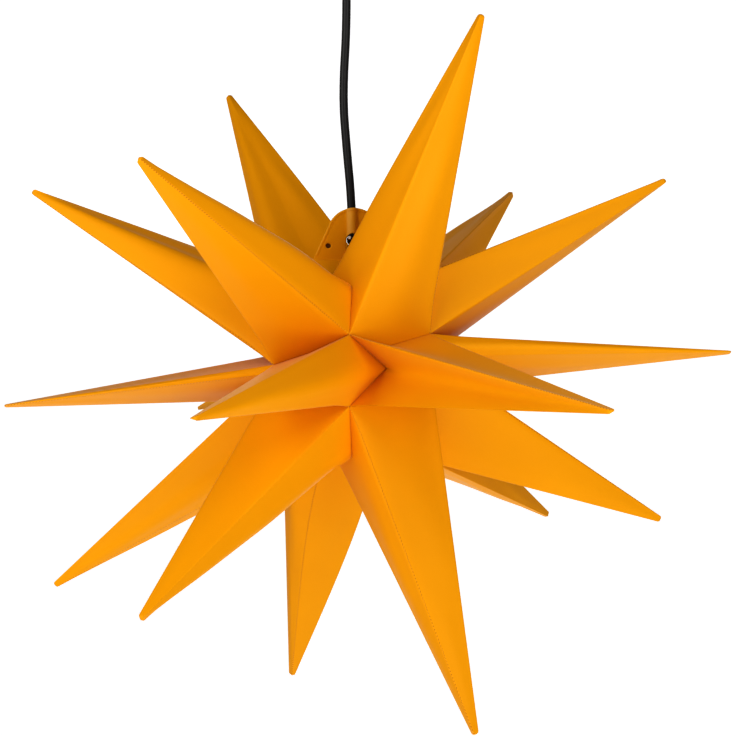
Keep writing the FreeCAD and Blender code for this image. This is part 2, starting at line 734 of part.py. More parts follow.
# The bulb's housing: a neck pressed in the cap, a flare and a rim for the globe
NECK_IN_CAP = "Sizes.bulb_cap_radius - Sizes.bulb_cap_wall - Sizes.bulb_fit"
FLARE_TOP = "(" + CAP_BASE + " - Sizes.bulb_neck_length)"
RIM_TOP = "(" + FLARE_TOP + " - Sizes.bulb_flare_length)"
RIM_BASE = "(" + RIM_TOP + " - Sizes.bulb_rim_height)"
keep(turned("bulb_housing_body", [
    ("0", CAP_BASE + " + Sizes.bulb_neck_length"),
    (NECK_IN_CAP, CAP_BASE + " + Sizes.bulb_neck_length"),
    (NECK_IN_CAP, CAP_BASE),
    ("Sizes.bulb_neck_radius", CAP_BASE),
    ("Sizes.bulb_neck_radius", FLARE_TOP),
    ("Sizes.bulb_rim_radius", RIM_TOP),
    ("Sizes.bulb_rim_radius", RIM_BASE),
    ("Sizes.bulb_rim_radius - Sizes.bulb_wall", RIM_BASE),
    ("Sizes.bulb_rim_radius - Sizes.bulb_wall", RIM_TOP),
    ("Sizes.bulb_neck_radius - Sizes.bulb_wall", FLARE_TOP),
    ("Sizes.bulb_neck_radius - Sizes.bulb_wall", CAP_BASE + " - Sizes.bulb_wall"),
    ("0", CAP_BASE + " - Sizes.bulb_wall"),
], LAMP_X, STAR_Z), "bulb_housing")

# The round light board with its chips, in the housing's rim
BOARD_RADIUS = "Sizes.bulb_rim_radius - Sizes.bulb_wall - Sizes.bulb_fit"
board = cylinder("board_disc", BOARD_RADIUS, "Sizes.board_thickness",
                 LAMP_X, "0", STAR_Z + " + " + RIM_BASE)
chips = []
CHIP_COUNT = 8
for number in range(CHIP_COUNT):
    turn = str(FULL_TURN * number / CHIP_COUNT)
    half_chip = "Sizes.chip_width / 2"
    chips.append(box(f"chip_{number}", "Sizes.chip_width", "Sizes.chip_width", "2 * Sizes.chip_height",
                     LAMP_X + " + Sizes.chip_ring_radius * cos(" + turn + ") - " + half_chip,
                     "Sizes.chip_ring_radius * sin(" + turn + ") - " + half_chip,
                     STAR_Z + " + " + RIM_BASE + " - Sizes.chip_height"))
keep(fuse("board_and_chips", [board] + chips), "led_board")


def globe():
    """The bulb's diffuser: a round shell, cut level where it meets the housing's rim."""
    radius = size("globe_radius")
    rim = size("bulb_rim_radius")
    top = (size("holder_joint") - size("holder_floor") - size("contact_thickness")
           - size("bulb_tip_clearance") - size("bulb_tip_height") - size("bulb_cap_length")
           - size("bulb_neck_length") - size("bulb_flare_length") - size("bulb_rim_height")
           - size("bulb_fit"))
    centre = Vector(size("lamp_offset"), 0, top - math.sqrt(radius ** 2 - rim ** 2) - size("star_drop"))
    shell = Part.makeSphere(radius, centre).cut(Part.makeSphere(radius - size("globe_wall"), centre))
    corner = Vector(centre.x - radius, -radius, top - size("star_drop"))
    return shell.cut(Part.makeBox(2 * radius, 2 * radius, radius, corner))


feature("bulb_globe", globe())

# The fixing bracket: a steel bar with two fixing holes and two tabs bent down for the side screws
bracket = doc.addObject("PartDesign::Body", "bracket_body")
bar_sketch = new_sketch(bracket, "bar_outline", "XY_Plane")
outline(bar_sketch, [("-Sizes.bracket_reach", "-Sizes.bracket_width / 2"),
                     ("Sizes.bracket_reach", "-Sizes.bracket_width / 2"),
                     ("Sizes.bracket_reach", "Sizes.bracket_width / 2"),
                     ("-Sizes.bracket_reach", "Sizes.bracket_width / 2")])
ring_of(bar_sketch, "Sizes.fixing_spacing / 2", "0", "Sizes.fixing_radius")
ring_of(bar_sketch, "-Sizes.fixing_spacing / 2", "0", "Sizes.fixing_radius")
ring_of(bar_sketch, "0", "0", "Sizes.block_peg_radius + Sizes.grip_clearance")
doc.recompute()
bar = bracket.newObject("PartDesign::Pad", "bar")
bar.Profile = bar_sketch
bar.Reversed = True
bar.setExpression("Length", "Sizes.bracket_thickness")
doc.recompute()
tab_sketch = new_sketch(bracket, "tab_outline", "XY_Plane")
TAB_INSIDE = "Sizes.bracket_reach - Sizes.bracket_thickness"
outline(tab_sketch, [(TAB_INSIDE, "-Sizes.bracket_width / 2"),
                     ("Sizes.bracket_reach", "-Sizes.bracket_width / 2"),
                     ("Sizes.bracket_reach", "Sizes.bracket_width / 2"),
                     (TAB_INSIDE, "Sizes.bracket_width / 2")])
outline(tab_sketch, [("-(" + TAB_INSIDE + ")", "-Sizes.bracket_width / 2"),
                     ("-Sizes.bracket_reach", "-Sizes.bracket_width / 2"),
                     ("-Sizes.bracket_reach", "Sizes.bracket_width / 2"),
                     ("-(" + TAB_INSIDE + ")", "Sizes.bracket_width / 2")])
doc.recompute()
tabs = bracket.newObject("PartDesign::Pad", "tabs")
tabs.Profile = tab_sketch
tabs.Reversed = True
tabs.setExpression("Length", "Sizes.tab_drop")
doc.recompute()
tab_volume = tabs.Shape.Volume
tab_hole_sketch = new_sketch(bracket, "tab_hole_outline", "YZ_Plane")
ring_of(tab_hole_sketch, "0", "-Sizes.side_screw_drop", "Sizes.side_screw_radius + Sizes.cord_fit")
doc.recompute()
tab_holes = bracket.newObject("PartDesign::Pocket", "tab_holes")
tab_holes.Profile = tab_hole_sketch
tab_holes.Midplane = True
tab_holes.setExpression("Length", "4 * Sizes.bracket_reach")
bracket.Tip = tab_holes
doc.recompute()
if not tab_holes.Shape.Volume < tab_volume:
    raise ValueError("the tab holes cut nothing")
place(bracket)
keep(bracket, "ceiling_bracket")

# The canopy: a cup with a sloping shoulder, open towards the ceiling
CUP_FLOOR = "-Sizes.canopy_height"
SHOULDER_Z = "-Sizes.canopy_height + Sizes.canopy_shoulder"
GRIP_HOLE = "Sizes.grip_thread_radius + Sizes.grip_clearance"
canopy = turned("canopy_body", [
    (GRIP_HOLE, CUP_FLOOR),
    ("Sizes.canopy_radius - Sizes.canopy_shoulder", CUP_FLOOR),
    ("Sizes.canopy_radius", SHOULDER_Z),
    ("Sizes.canopy_radius", "-Sizes.canopy_gap"),
    ("Sizes.canopy_radius - Sizes.canopy_wall", "-Sizes.canopy_gap"),
    ("Sizes.canopy_radius - Sizes.canopy_wall", SHOULDER_Z + " + Sizes.canopy_wall / 2"),
    ("Sizes.canopy_radius - Sizes.canopy_shoulder - Sizes.canopy_wall / 2",
     CUP_FLOOR + " + Sizes.canopy_wall"),
    (GRIP_HOLE, CUP_FLOOR + " + Sizes.canopy_wall"),
])
cup_volume = canopy.Shape.Volume
side_hole_sketch = new_sketch(canopy, "side_hole_outline", "YZ_Plane")
ring_of(side_hole_sketch, "0", "-Sizes.side_screw_drop",
        "Sizes.side_screw_radius + Sizes.side_screw_clearance")
doc.recompute()
side_holes = canopy.newObject("PartDesign::Pocket", "side_holes")
side_holes.Profile = side_hole_sketch
side_holes.Midplane = True
side_holes.setExpression("Length", "4 * Sizes.canopy_radius")
canopy.Tip = side_holes
doc.recompute()
if not side_holes.Shape.Volume < cup_volume:
    raise ValueError("the side holes cut nothing")
keep(canopy, "canopy_cup")

# The two screws that hold the canopy to the bracket's tabs
SHANK = "Sizes.canopy_radius - Sizes.bracket_reach + Sizes.side_screw_inset"
screws = []
for name, side in (("left", "-1"), ("right", "1")):
    shank_start = "Sizes.bracket_reach - Sizes.side_screw_inset"
    head_start = "Sizes.canopy_radius"
    if side == "-1":
        shank_start = "-Sizes.canopy_radius"
        head_start = "-Sizes.canopy_radius - Sizes.side_screw_head_height"
    shank = cylinder(name + "_shank", "Sizes.side_screw_radius", SHANK,
                     shank_start, "0", "-Sizes.side_screw_drop", ALONG_X)
    head = cylinder(name + "_head", "Sizes.side_screw_head_radius", "Sizes.side_screw_head_height",
                    head_start, "0", "-Sizes.side_screw_drop", ALONG_X)
    screws.append(fuse(name + "_screw", [shank, head]))
keep(group("side_screws", screws), "canopy_screws")

# The cord grip: a flange under the canopy, a tapered nose with a flared mouth in which the cord can
# swing, and a thread up through the floor
GRIP_MOUTH = "-Sizes.grip_flange - Sizes.grip_nose"
GRIP_BORE = "Sizes.cord_radius + Sizes.cord_fit"
keep(turned("grip_body", [
    (GRIP_BORE, "Sizes.grip_thread_length"),
    ("Sizes.grip_thread_radius", "Sizes.grip_thread_length"),
    ("Sizes.grip_thread_radius", "0"),
    ("Sizes.grip_radius", "0"),
    ("Sizes.grip_radius", "-Sizes.grip_flange"),
    ("Sizes.grip_nose_radius", GRIP_MOUTH),
    (GRIP_BORE + " + Sizes.grip_mouth_flare", GRIP_MOUTH),
    (GRIP_BORE, GRIP_MOUTH + " + Sizes.grip_mouth_depth"),
], "0", CUP_FLOOR), "cord_grip")

# The nut on the grip's thread, inside the canopy
nut = doc.addObject("Part::Prism", "nut_block")
nut.Polygon = CORNERS
nut.setExpression("Circumradius", "Sizes.nut_radius")
nut.setExpression("Height", "Sizes.nut_height")
place(nut, "0", "0", CUP_FLOOR + " + Sizes.canopy_wall")
nut_bore = cylinder("nut_bore", "Sizes.grip_thread_radius + Sizes.cord_fit", "4 * Sizes.nut_height",
                    "0", "0", CUP_FLOOR + " - Sizes.nut_height")
keep(cut("nut_cut", nut, nut_bore), "grip_nut")

# The terminal block under the bracket: a peg in the bracket, two wire bores, four clamp screws
BLOCK_BASE = "-Sizes.bracket_thickness - Sizes.block_height"
BORE_Z = "-Sizes.bracket_thickness - Sizes.block_height / 2"
CLAMP_LENGTH = "Sizes.block_height / 2 - Sizes.core_radius - Sizes.grip_clearance"
block = box("block_body", "Sizes.block_length", "Sizes.block_width", "Sizes.block_height",
            "-Sizes.block_length / 2", "-Sizes.block_width / 2", BLOCK_BASE)
peg = cylinder("block_peg", "Sizes.block_peg_radius", "2 * Sizes.bracket_thickness",
               "0", "0", "-2 * Sizes.bracket_thickness")
solid_block = fuse("block_with_peg", [block, peg])
bores = []
block_screws = []
for name, across in (("left", "-Sizes.block_bore_reach"), ("right", "Sizes.block_bore_reach")):
    bores.append(cylinder(name + "_bore", "Sizes.block_bore_radius", "2 * Sizes.block_width",
                          across, "-Sizes.block_width", BORE_Z, ALONG_Y))
    for end, along in (("front", "-Sizes.block_screw_reach"), ("rear", "Sizes.block_screw_reach")):
        bores.append(cylinder(f"{name}_{end}_screw_bore", "Sizes.block_screw_radius + Sizes.cord_fit",
                              "Sizes.block_height / 2", across, along, BLOCK_BASE))
        block_screws.append(cylinder(f"{name}_{end}_clamp_screw", "Sizes.block_screw_radius",
                                     CLAMP_LENGTH, across, along, BLOCK_BASE))
keep(cut("block_cut", solid_block, fuse("block_bores", bores)), "terminal_block")
keep(group("block_screw_group", block_screws), "terminal_screws")


def cord_solid(points, radius, label):
    """A round cord along straight runs joined by tangent arcs, each as large as its runs allow."""
    edges = []
    radii = []
    length = 0.0
    here = points[0]
    for index in range(1, len(points) - 1):
        before = points[index] - points[index - 1]
        after = points[index + 1] - points[index]
        turn = before.getAngle(after)
        trim = ARC_SHARE * min(before.Length, after.Length)
        radii.append(trim / math.tan(turn / 2))
        into = points[index] - before.normalize() * trim
        out = points[index] + after.normalize() * trim
        bisector = (into + out - points[index] * 2).normalize()
        to_centre = math.hypot(trim, radii[-1])
        middle = points[index] + bisector * (to_centre - radii[-1])
        edges.append(Part.LineSegment(here, into).toShape())
        edges.append(Part.Arc(into, middle, out).toShape())
        length += (into - here).Length + radii[-1] * turn
        here = out
    edges.append(Part.LineSegment(here, points[-1]).toShape())
    length += (points[-1] - here).Length
    path = Part.Wire(edges)
    start = (points[1] - points[0]).normalize()
    section = Part.Wire([Part.Circle(points[0], start, radius).toShape()])
    solid = path.makePipeShell([section], True, False)
    expected = math.pi * radius ** 2 * length
    print(label, "length", round(length, 1), "radii", [round(value, 1) for value in radii],
          "volume over section times length", round(solid.Volume / expected, 4))
    return solid


ARC_SHARE = 0.45


def hanging_route():
    """The free cord from the grip's nose down to the middle of the stop, as the photograph shows it."""
    route = [Vector(0, 0, -size("canopy_height") - size("grip_flange") - size("grip_nose"))]
    for bend in ("bend_1", "bend_2", "bend_3"):
        route.append(Vector(size(bend + "_across"), size(bend + "_depth"), -size(bend + "_drop")))
    route.append(Vector(size("lamp_offset"), 0, -size("bend_4_drop")))
    route.append(Vector(size("lamp_offset"), 0, size("stop_height") - size("star_drop")))
    return route


# The cord's upper end is round, so that it can swing in the mouth of the grip
hanging_tube = cord_solid(hanging_route(), size("cord_radius"), "hanging_cord")
swing_end = Part.makeSphere(size("cord_radius"), hanging_route()[0])
feature("hanging_cord", hanging_tube.fuse(swing_end).removeSplitter())

# A core's way from the sheath round into the block: the lean of each run from straight up, towards
# the back, its share of the height and its share of the way out to the block's bore
CORE_LEANS = (0, -30, -60, -30, 0, 30, 60, 90)
CORE_HEIGHT_SHARES = (0.155, 0.14, 0.175, 0.145, 0.165, 0.14, 0.08)
CORE_SPREAD_SHARES = (0.0, 0.2, 0.3, 0.3, 0.2, 0.0, 0.0)


def core_route(side):
    """One core's points, from inside the sheath's end to its seat in the terminal block."""
    bottom = -size("canopy_height") + size("grip_thread_length") + size("tail_stub") - size("cord_radius")
    top = -size("bracket_thickness") - size("block_height") / 2
    spread = size("block_bore_reach") - size("core_spacing")
    here = Vector(side * size("core_spacing"), 0, bottom)
    route = [here]
    for lean, height_share, spread_share in zip(CORE_LEANS, CORE_HEIGHT_SHARES, CORE_SPREAD_SHARES):
        rise = (top - bottom) * height_share
        here = here + Vector(side * spread * spread_share, rise * math.tan(math.radians(lean)), rise)
        route.append(here)
    seat = size("core_grip") - size("block_width") / 2
    route.append(Vector(here.x, seat, here.z))
    return route


def cord_tail():
    """The cord's end inside the canopy: the sheath through the grip, and two cores to the block."""
    radius = size("cord_radius")
    bottom = hanging_route()[0].z + radius + size("cord_fit")
    top = -size("canopy_height") + size("grip_thread_length") + size("tail_stub")
    tail = Part.makeCylinder(radius, top - bottom, Vector(0, 0, bottom))
    for side in (-1, 1):
        tail = tail.fuse(cord_solid(core_route(side), size("core_radius"), "core"))
    return tail


feature("cord_tail", cord_tail())

# Every sub-part is checked before any file is written
doc.recompute()
for item in doc.Objects:
    if "Invalid" in item.State or "Error" in item.State:
        raise ValueError(item.Label + " failed: " + str(item.State))
for item in sub_parts:
    if item.Shape.isNull() or not item.Shape.isValid():
        raise ValueError(item.Label + " has no valid shape")
os.makedirs("parts", exist_ok=True)
for item in sub_parts:
    item.Shape.exportStep(os.path.join("parts", item.Label + ".step"))
    print(item.Label, "solids", len(item.Shape.Solids), "volume", round(item.Shape.Volume, 2))
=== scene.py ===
import math

import bmesh
import bpy
import numpy as np
from mathutils import Matrix, Vector
from mathutils.geometry import delaunay_2d_cdt


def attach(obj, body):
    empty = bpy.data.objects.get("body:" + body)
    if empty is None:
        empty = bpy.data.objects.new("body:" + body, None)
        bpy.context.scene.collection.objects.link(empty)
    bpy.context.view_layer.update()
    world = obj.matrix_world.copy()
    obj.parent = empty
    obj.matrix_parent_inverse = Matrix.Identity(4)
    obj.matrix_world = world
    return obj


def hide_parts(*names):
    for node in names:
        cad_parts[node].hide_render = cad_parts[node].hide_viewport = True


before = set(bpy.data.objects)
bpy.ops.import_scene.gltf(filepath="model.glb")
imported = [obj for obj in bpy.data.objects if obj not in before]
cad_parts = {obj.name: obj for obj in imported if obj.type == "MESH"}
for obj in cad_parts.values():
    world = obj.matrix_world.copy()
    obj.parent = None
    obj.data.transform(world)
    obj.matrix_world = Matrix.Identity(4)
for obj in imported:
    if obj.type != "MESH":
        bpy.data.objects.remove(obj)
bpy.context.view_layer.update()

# The view
# The star is seen from the front and hangs level with the eye. The photograph is tilted by the same angle
# as the star's own lean, so the camera is rolled by it.
star_lean = math.radians(1.7)
view_right = (math.cos(star_lean), 0, -math.sin(star_lean))
view_up = (math.sin(star_lean), 0, math.cos(star_lean))
view_back = (0, -1, 0)
view_point = (0.00803, -1.737, -0.3675)
eye = bpy.data.objects.new("eye", bpy.data.cameras.new("eye"))
eye.data.lens = 109.1
eye.data.sensor_width = 36
eye_turn = Matrix((view_right, view_up, view_back)).transposed().to_4x4()
eye.matrix_world = Matrix.Translation(view_point) @ eye_turn
bpy.context.scene.collection.objects.link(eye)
bpy.context.scene.camera = eye


# Hanging cord
# A round black rubber flex, 6.6 mm thick. It comes out of the nose of the grip in the ceiling canopy,
# keeps the slight bends of its packing, and ends in the stop that carries the star.
class Amount:
    """A number, place or colour that varies over a surface. A sum with it adds the node that works it out."""

    def __init__(self, tree, socket):
        self.tree = tree
        self.socket = socket

    def step(self, operation, *values):
        """Adds one sum of the given values, which this number is part of only if it is among them."""
        node = self.tree.nodes.new("ShaderNodeMath")
        node.operation = operation
        for slot, value in zip(node.inputs, values):
            if isinstance(value, Amount):
                self.tree.links.new(value.socket, slot)
            else:
                slot.default_value = value
        return Amount(self.tree, node.outputs[0])

    def __add__(self, other):
        return self.step("ADD", self, other)

    def __mul__(self, other):
        return self.step("MULTIPLY", self, other)

    def __sub__(self, other):
        return self.step("SUBTRACT", self, other)

    def __rsub__(self, other):
        return self.step("SUBTRACT", other, self)

    def __truediv__(self, other):
        return self.step("DIVIDE", self, other)

    def __pow__(self, other):
        return self.step("POWER", self, other)

    def held(self):
        """The same number, held between 0 and 1."""
        return self.step("MINIMUM", self.step("MAXIMUM", self, 0.0), 1.0)

    __radd__ = __add__
    __rmul__ = __mul__


class Finish:
    """A finish in the making: a surface with its fixed values, and the nodes that vary it."""

    def __init__(self, name, fixed):
        self.material = bpy.data.materials.new(name)
        self.material.use_nodes = True
        self.tree = self.material.node_tree
        self.surface = self.tree.nodes["Principled BSDF"]
        for key, value in fixed.items():
            self.surface.inputs[key].default_value = value

    def node(self, kind, settings, values, output=0):
        """Adds a node. Its settings are set first, then the values or links of its sockets."""
        made = self.tree.nodes.new(kind)
        for key, value in settings.items():
            setattr(made, key, value)
        for key, value in values.items():
            if isinstance(value, Amount):
                self.tree.links.new(value.socket, made.inputs[key])
            else:
                made.inputs[key].default_value = value
        return Amount(self.tree, made.outputs[output])

    def place(self):
        """Where each point of the surface lies in its object."""
        return self.node("ShaderNodeTexCoord", {}, {}, "Object")

    def blotches(self, size, detail=2.0, stretch=(1, 1, 1)):
        """Uneven patches about the given size, in metres, from 0 to 1."""
        spot = self.node("ShaderNodeMapping", {}, {"Vector": self.place(), "Scale": stretch})
        return self.node("ShaderNodeTexNoise", {}, {"Vector": spot, "Scale": 1 / size, "Detail": detail})

    def blend(self, share, first, second):
        """A colour between two others."""
        return self.node("ShaderNodeMix", {"data_type": "RGBA"}, {0: share, 6: first, 7: second}, 2)

    def dress(self, colour=None, roughness=None, height=None, metallic=None):
        """Feeds the surface, with its height in metres, and gives the finished material."""
        feeds = {"Base Color": colour, "Roughness": roughness, "Metallic": metallic}
        if height is not None:
            feeds["Normal"] = self.node("ShaderNodeBump", {}, {"Height": height, "Distance": 1.0})
        for key, value in feeds.items():
            if value is not None:
                self.tree.links.new(value.socket, self.surface.inputs[key])
        return self.material


def cord_finish():
    """Black rubber, a little glossy, with a fine drawn grain and dull patches from handling."""
    cord = Finish("cord_rubber", {"IOR": 1.5})
    grain = cord.blotches(0.0006, 3.0, (1, 1, 0.12))
    patches = cord.blotches(0.012)
    colour = cord.blend(patches, (0.006, 0.006, 0.006, 1), (0.016, 0.015, 0.014, 1))
    return cord.dress(colour, 0.34 + patches * 0.14 + grain * 0.06, grain * 0.00003)


CORD_ROUTE = [(0, 0, -0.069), (-0.0004, 0, -0.098), (-0.0055, 0.0015, -0.155), (-0.0035, 0.0008, -0.197),
              (-0.0009, 0, -0.236), (-0.0009, 0, -0.2675)]
cord_curve = bpy.data.curves.new("hanging_cord_flex", "CURVE")
cord_curve.dimensions = "3D"
cord_curve.bevel_depth = 0.0033
cord_curve.bevel_resolution = 10
cord_curve.resolution_u = 24
cord_curve.use_fill_caps = True
run = cord_curve.splines.new("NURBS")
run.points.add(len(CORD_ROUTE) - 1)
for point, spot in zip(run.points, CORD_ROUTE):
    point.co = (*spot, 1)
run.order_u = 3
run.use_endpoint_u = True
cord = bpy.data.objects.new("hanging_cord_flex", cord_curve)
bpy.context.scene.collection.objects.link(cord)
cord_curve.materials.append(cord_finish())
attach(cord, "cord")
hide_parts("hanging_cord")


# Ceiling fitting
# A bent zinc-plated bracket screwed to the ceiling, and a black moulded canopy held to its tabs by two
# side screws. A grip with a nut holds the flex, and its two cores go into a pale terminal block.
def moulded(name, dark, light, grain=0.0005, depth=0.00002, gloss=0.4):
    """Moulded plastic: a fine spark-eroded grain, slightly uneven colour, and faint rubbed patches."""
    plastic = Finish(name, {"IOR": 1.46})
    skin = plastic.blotches(grain, 3.0)
    rubbed = plastic.blotches(0.02)
    colour = plastic.blend(rubbed * 0.8 + skin * 0.2, (*dark, 1), (*light, 1))
    return plastic.dress(colour, gloss + rubbed * 0.12 - skin * 0.06, skin * depth)


def metal(name, dark, light, grain=(1, 1, 1), rough=0.3):
    """Bare or plated metal: drawn along or tumbled even, with dull patches where it has tarnished."""
    plate = Finish(name, {})
    drawn = plate.blotches(0.0007, 4.0, grain)
    dull = plate.blotches(0.006, 3.0)
    colour = plate.blend(dull, (*light, 1), (*dark, 1))
    return plate.dress(colour, rough + dull * 0.2 + drawn * 0.08, drawn * 0.000012, dull * -0.08 + 1.0)


def paint(finish, *names):
    """Gives kept solids their finish."""
    for name in names:
        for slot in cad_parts[name].material_slots:
            slot.material = finish


def soften(width, *names):
    """Takes the sharp edges off kept solids."""
    for name in names:
        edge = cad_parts[name].modifiers.new("soft edges", "BEVEL")
        edge.width = width
        edge.segments = 2


def shell(name, points, cells, finish, across=None):
    """A piece from points and faces. Points that fall together are joined, which closes seams and poles.

    across, if given, holds two lengths for each point, kept as the map called seam.
    """
    mesh = bpy.data.meshes.new(name)
    mesh.from_pydata(points, [], cells)
    if across is not None:
        spots = np.empty(len(mesh.loops), dtype=np.int32)
        mesh.loops.foreach_get("vertex_index", spots)
        mesh.uv_layers.new(name="seam").uv.foreach_set("vector", across[spots].astype(np.float32).ravel())
    joined = bmesh.new()
    joined.from_mesh(mesh)
    bmesh.ops.remove_doubles(joined, verts=joined.verts, dist=1e-6)
    joined.to_mesh(mesh)
    joined.free()
    mesh.shade_smooth()
    mesh.materials.append(finish)
    piece = bpy.data.objects.new(name, mesh)
    bpy.context.scene.collection.objects.link(piece)
    return piece


def grid_cells(rows, columns, outward=True):
    """The four-cornered faces of a grid of points, turned to one side or the other."""
    number = np.arange(rows * columns).reshape(rows, columns)
    corners = (number[:-1, :-1], number[:-1, 1:], number[1:, 1:], number[1:, :-1])
    cells = np.stack(corners, axis=-1).reshape(-1, 4)
    return cells if outward else cells[:, ::-1]


def eased(share):
    """A share from 0 to 1 that starts and ends level."""
    held = np.clip(share, 0, 1)
    return held * held * (3 - 2 * held)


def unit(vectors):
    """Vectors of the same directions, each one long."""
    return vectors / np.linalg.norm(vectors, axis=-1, keepdims=True)


def grooves(wall, low, high, depth, pitch=0, ribs=0):
    """A screw thread of some pitch, or upright ribs of some number, cut into the wall at one radius.

    Either is a sine wave in from the wall, which runs out within a millimetre at both ends.
    """
    def carve(radius, height, turn):
        wave = np.sin(2 * math.pi * height / pitch - turn) if pitch else np.cos(ribs * turn)
        run_out = 0.001
        along = eased((height - low) / run_out) * eased((high - height) / run_out)
        return radius - depth * (0.5 - 0.5 * wave) * (np.abs(radius - wall) < 1e-5) * along
    return carve


def turned(name, outline, finish, body, node, centre=(0, 0, 0), apart=0.002, round_steps=96, carve=None,
           lying=False):
    """A turned piece: an outline of radius, height and corner rounding in millimetres, carried once round.

    Each corner is cut by a short parabola and each line is divided into rows, apart metres from each other
    at most. An outline that starts and ends on the axis stays open there, and any other is closed. Carve may
    change the radius of each point. A lying piece has its axis along the depth.
    """
    millimetre = 0.001
    corner = np.array(outline, dtype=float) * millimetre
    spot = corner[:, :2]
    on_axis = corner[0, 0] == 0 and corner[-1, 0] == 0
    back, ahead = np.roll(spot, 1, axis=0) - spot, np.roll(spot, -1, axis=0) - spot
    cut = [np.minimum(corner[:, 2], 0.45 * np.linalg.norm(way, axis=1))[:, None] for way in (back, ahead)]
    first = spot + back / np.maximum(np.linalg.norm(back, axis=1, keepdims=True), 1e-9) * cut[0]
    last = spot + ahead / np.maximum(np.linalg.norm(ahead, axis=1, keepdims=True), 1e-9) * cut[1]
    if on_axis:
        first[0] = last[0] = spot[0]
        first[-1] = last[-1] = spot[-1]
    share = np.linspace(0, 1, 6)[:, None]
    rows = []
    for number in range(len(spot)):
        rows.append((1 - share) ** 2 * first[number] + 2 * share * (1 - share) * spot[number]
                    + share ** 2 * last[number])
        if on_axis and number == len(spot) - 1:
            break
        following = first[(number + 1) % len(spot)]
        count = int(np.linalg.norm(following - last[number]) / apart) + 1
        rows.append(last[number] + (following - last[number]) * np.linspace(0, 1, count + 1)[1:-1, None])
    if not on_axis:
        rows.append(first[:1])
    rows = np.concatenate(rows)
    area = (spot[:, 0] * np.roll(spot[:, 1], -1) - np.roll(spot[:, 0], -1) * spot[:, 1]).sum()
    turn = np.linspace(0, 2 * math.pi, round_steps + 1)[None]
    radius, height = np.broadcast_arrays(rows[:, :1], rows[:, 1:] + 0 * turn)
    if carve:
        radius = carve(radius, height, turn)
    parts = (radius * np.cos(turn), radius * np.sin(turn), height)
    if lying:
        parts = (parts[0], height, -parts[1])
    points = np.stack(parts, axis=-1) + np.array(centre)
    piece = shell(name, points.reshape(-1, 3), grid_cells(*radius.shape, area > 0), finish)
    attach(piece, body)
    if node:
        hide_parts(node)


zinc = metal("zinc_plate", (0.36, 0.37, 0.36), (0.62, 0.63, 0.62), rough=0.34)
canopy_black = moulded("canopy_plastic", (0.010, 0.010, 0.010), (0.024, 0.023, 0.022))
paint(zinc, "ceiling_bracket", "canopy_screws")
paint(canopy_black, "grip_nut")
paint(moulded("block_nylon", (0.66, 0.63, 0.54), (0.78, 0.76, 0.68), gloss=0.35), "terminal_block")
paint(metal("clamp_screw_steel", (0.45, 0.44, 0.42), (0.66, 0.65, 0.62)), "terminal_screws")
paint(cord_curve.materials[0], "cord_tail")
soften(0.0003, "ceiling_bracket", "canopy_screws", "grip_nut")
soften(0.0005, "terminal_block")
turned("canopy_cup_moulding", [(5.1, -55, 0.3), (36, -55, 3), (50, -41, 4), (50, -0.5, 0.7), (48, -0.5, 0.4),
                               (48, -40, 3), (35, -53, 3), (5.1, -53, 0.3)],
       canopy_black, "fitting", "canopy_cup", round_steps=144)
turned("cord_grip_moulding", [(3.35, -47, 0.2), (5, -47, 0.4), (5, -55, 0.1), (11, -55, 0.4), (11, -59, 1),
                              (5.2, -69, 0.7), (3.95, -69, 0.4), (3.35, -66.5, 0.5)],
       canopy_black, "fitting", "cord_grip", apart=0.0005, round_steps=192,
       carve=grooves(0.011, -0.059, -0.055, 0.0004, ribs=24))


# Stop
# A cross-drilled barrel of glossy black plastic, clamped on the flex by a bright screw. It carries the
# closing flaps, and with them the whole star. A rubber bush below it, which no solid stands for, closes
# the flaps' slot.
stop_black = moulded("stop_gloss", (0.006, 0.006, 0.006), (0.014, 0.013, 0.012), gloss=0.16, depth=0.000004)
screw_nickel = metal("stop_screw_nickel", (0.62, 0.61, 0.58), (0.86, 0.85, 0.82), rough=0.16)
STOP = (-0.0009, 0, -0.2675)
turned("cord_stop_barrel", [(0, 4.6, 0), (4.6, 4.6, 1.2), (4.6, -5.3, 0.9), (0, -5.3, 0)],
       stop_black, "star", "cord_stop", STOP, apart=0.0005, lying=True)
turned("stop_screw_turned", [(0, -3.42, 0), (1.5, -3.42, 0.2), (1.5, -5.4, 0.3), (0.9, -5.6, 0.2),
                             (0, -5.3, 0)],
       screw_nickel, "star", "stop_screw", (-0.0033, 0, -0.2660), apart=0.0003,
       round_steps=64, lying=True)
turned("stop_bush_rubber", [(3.32, -4, 0.1), (4.4, -4, 0.2), (4.4, -9.3, 0.8), (3.32, -9.6, 0.1)],
       stop_black, "star", None, STOP, apart=0.0005)


# Lampholder
# Two black mouldings that screw together round a threaded brass sleeve with a sprung centre contact. A
# rubber ring in the mouth seals on the neck of the bulb.
holder_black = moulded("holder_plastic", (0.009, 0.009, 0.009), (0.020, 0.019, 0.018), gloss=0.36)
brass = metal("sleeve_brass", (0.52, 0.34, 0.12), (0.78, 0.58, 0.26))
seal_rubber = moulded("seal_rubber", (0.02, 0.02, 0.02), (0.035, 0.033, 0.031), gloss=0.62)
LAMP = (-0.0009, 0, -0.375)
paint(cord_curve.materials[0], "lamp_lead")
turned("holder_cap_moulding", [(3.35, 87, 0.3), (6, 87, 1), (8, 80, 2), (17, 68, 3), (17, 60, 0.4),
                               (15, 60, 0.3), (15, 66, 1.5), (6, 70, 1), (3.35, 70, 0.3)],
       holder_black, "star", "holder_cap", LAMP, apart=0.001, round_steps=240,
       carve=grooves(0.017, 0.0605, 0.067, 0.0005, ribs=30))
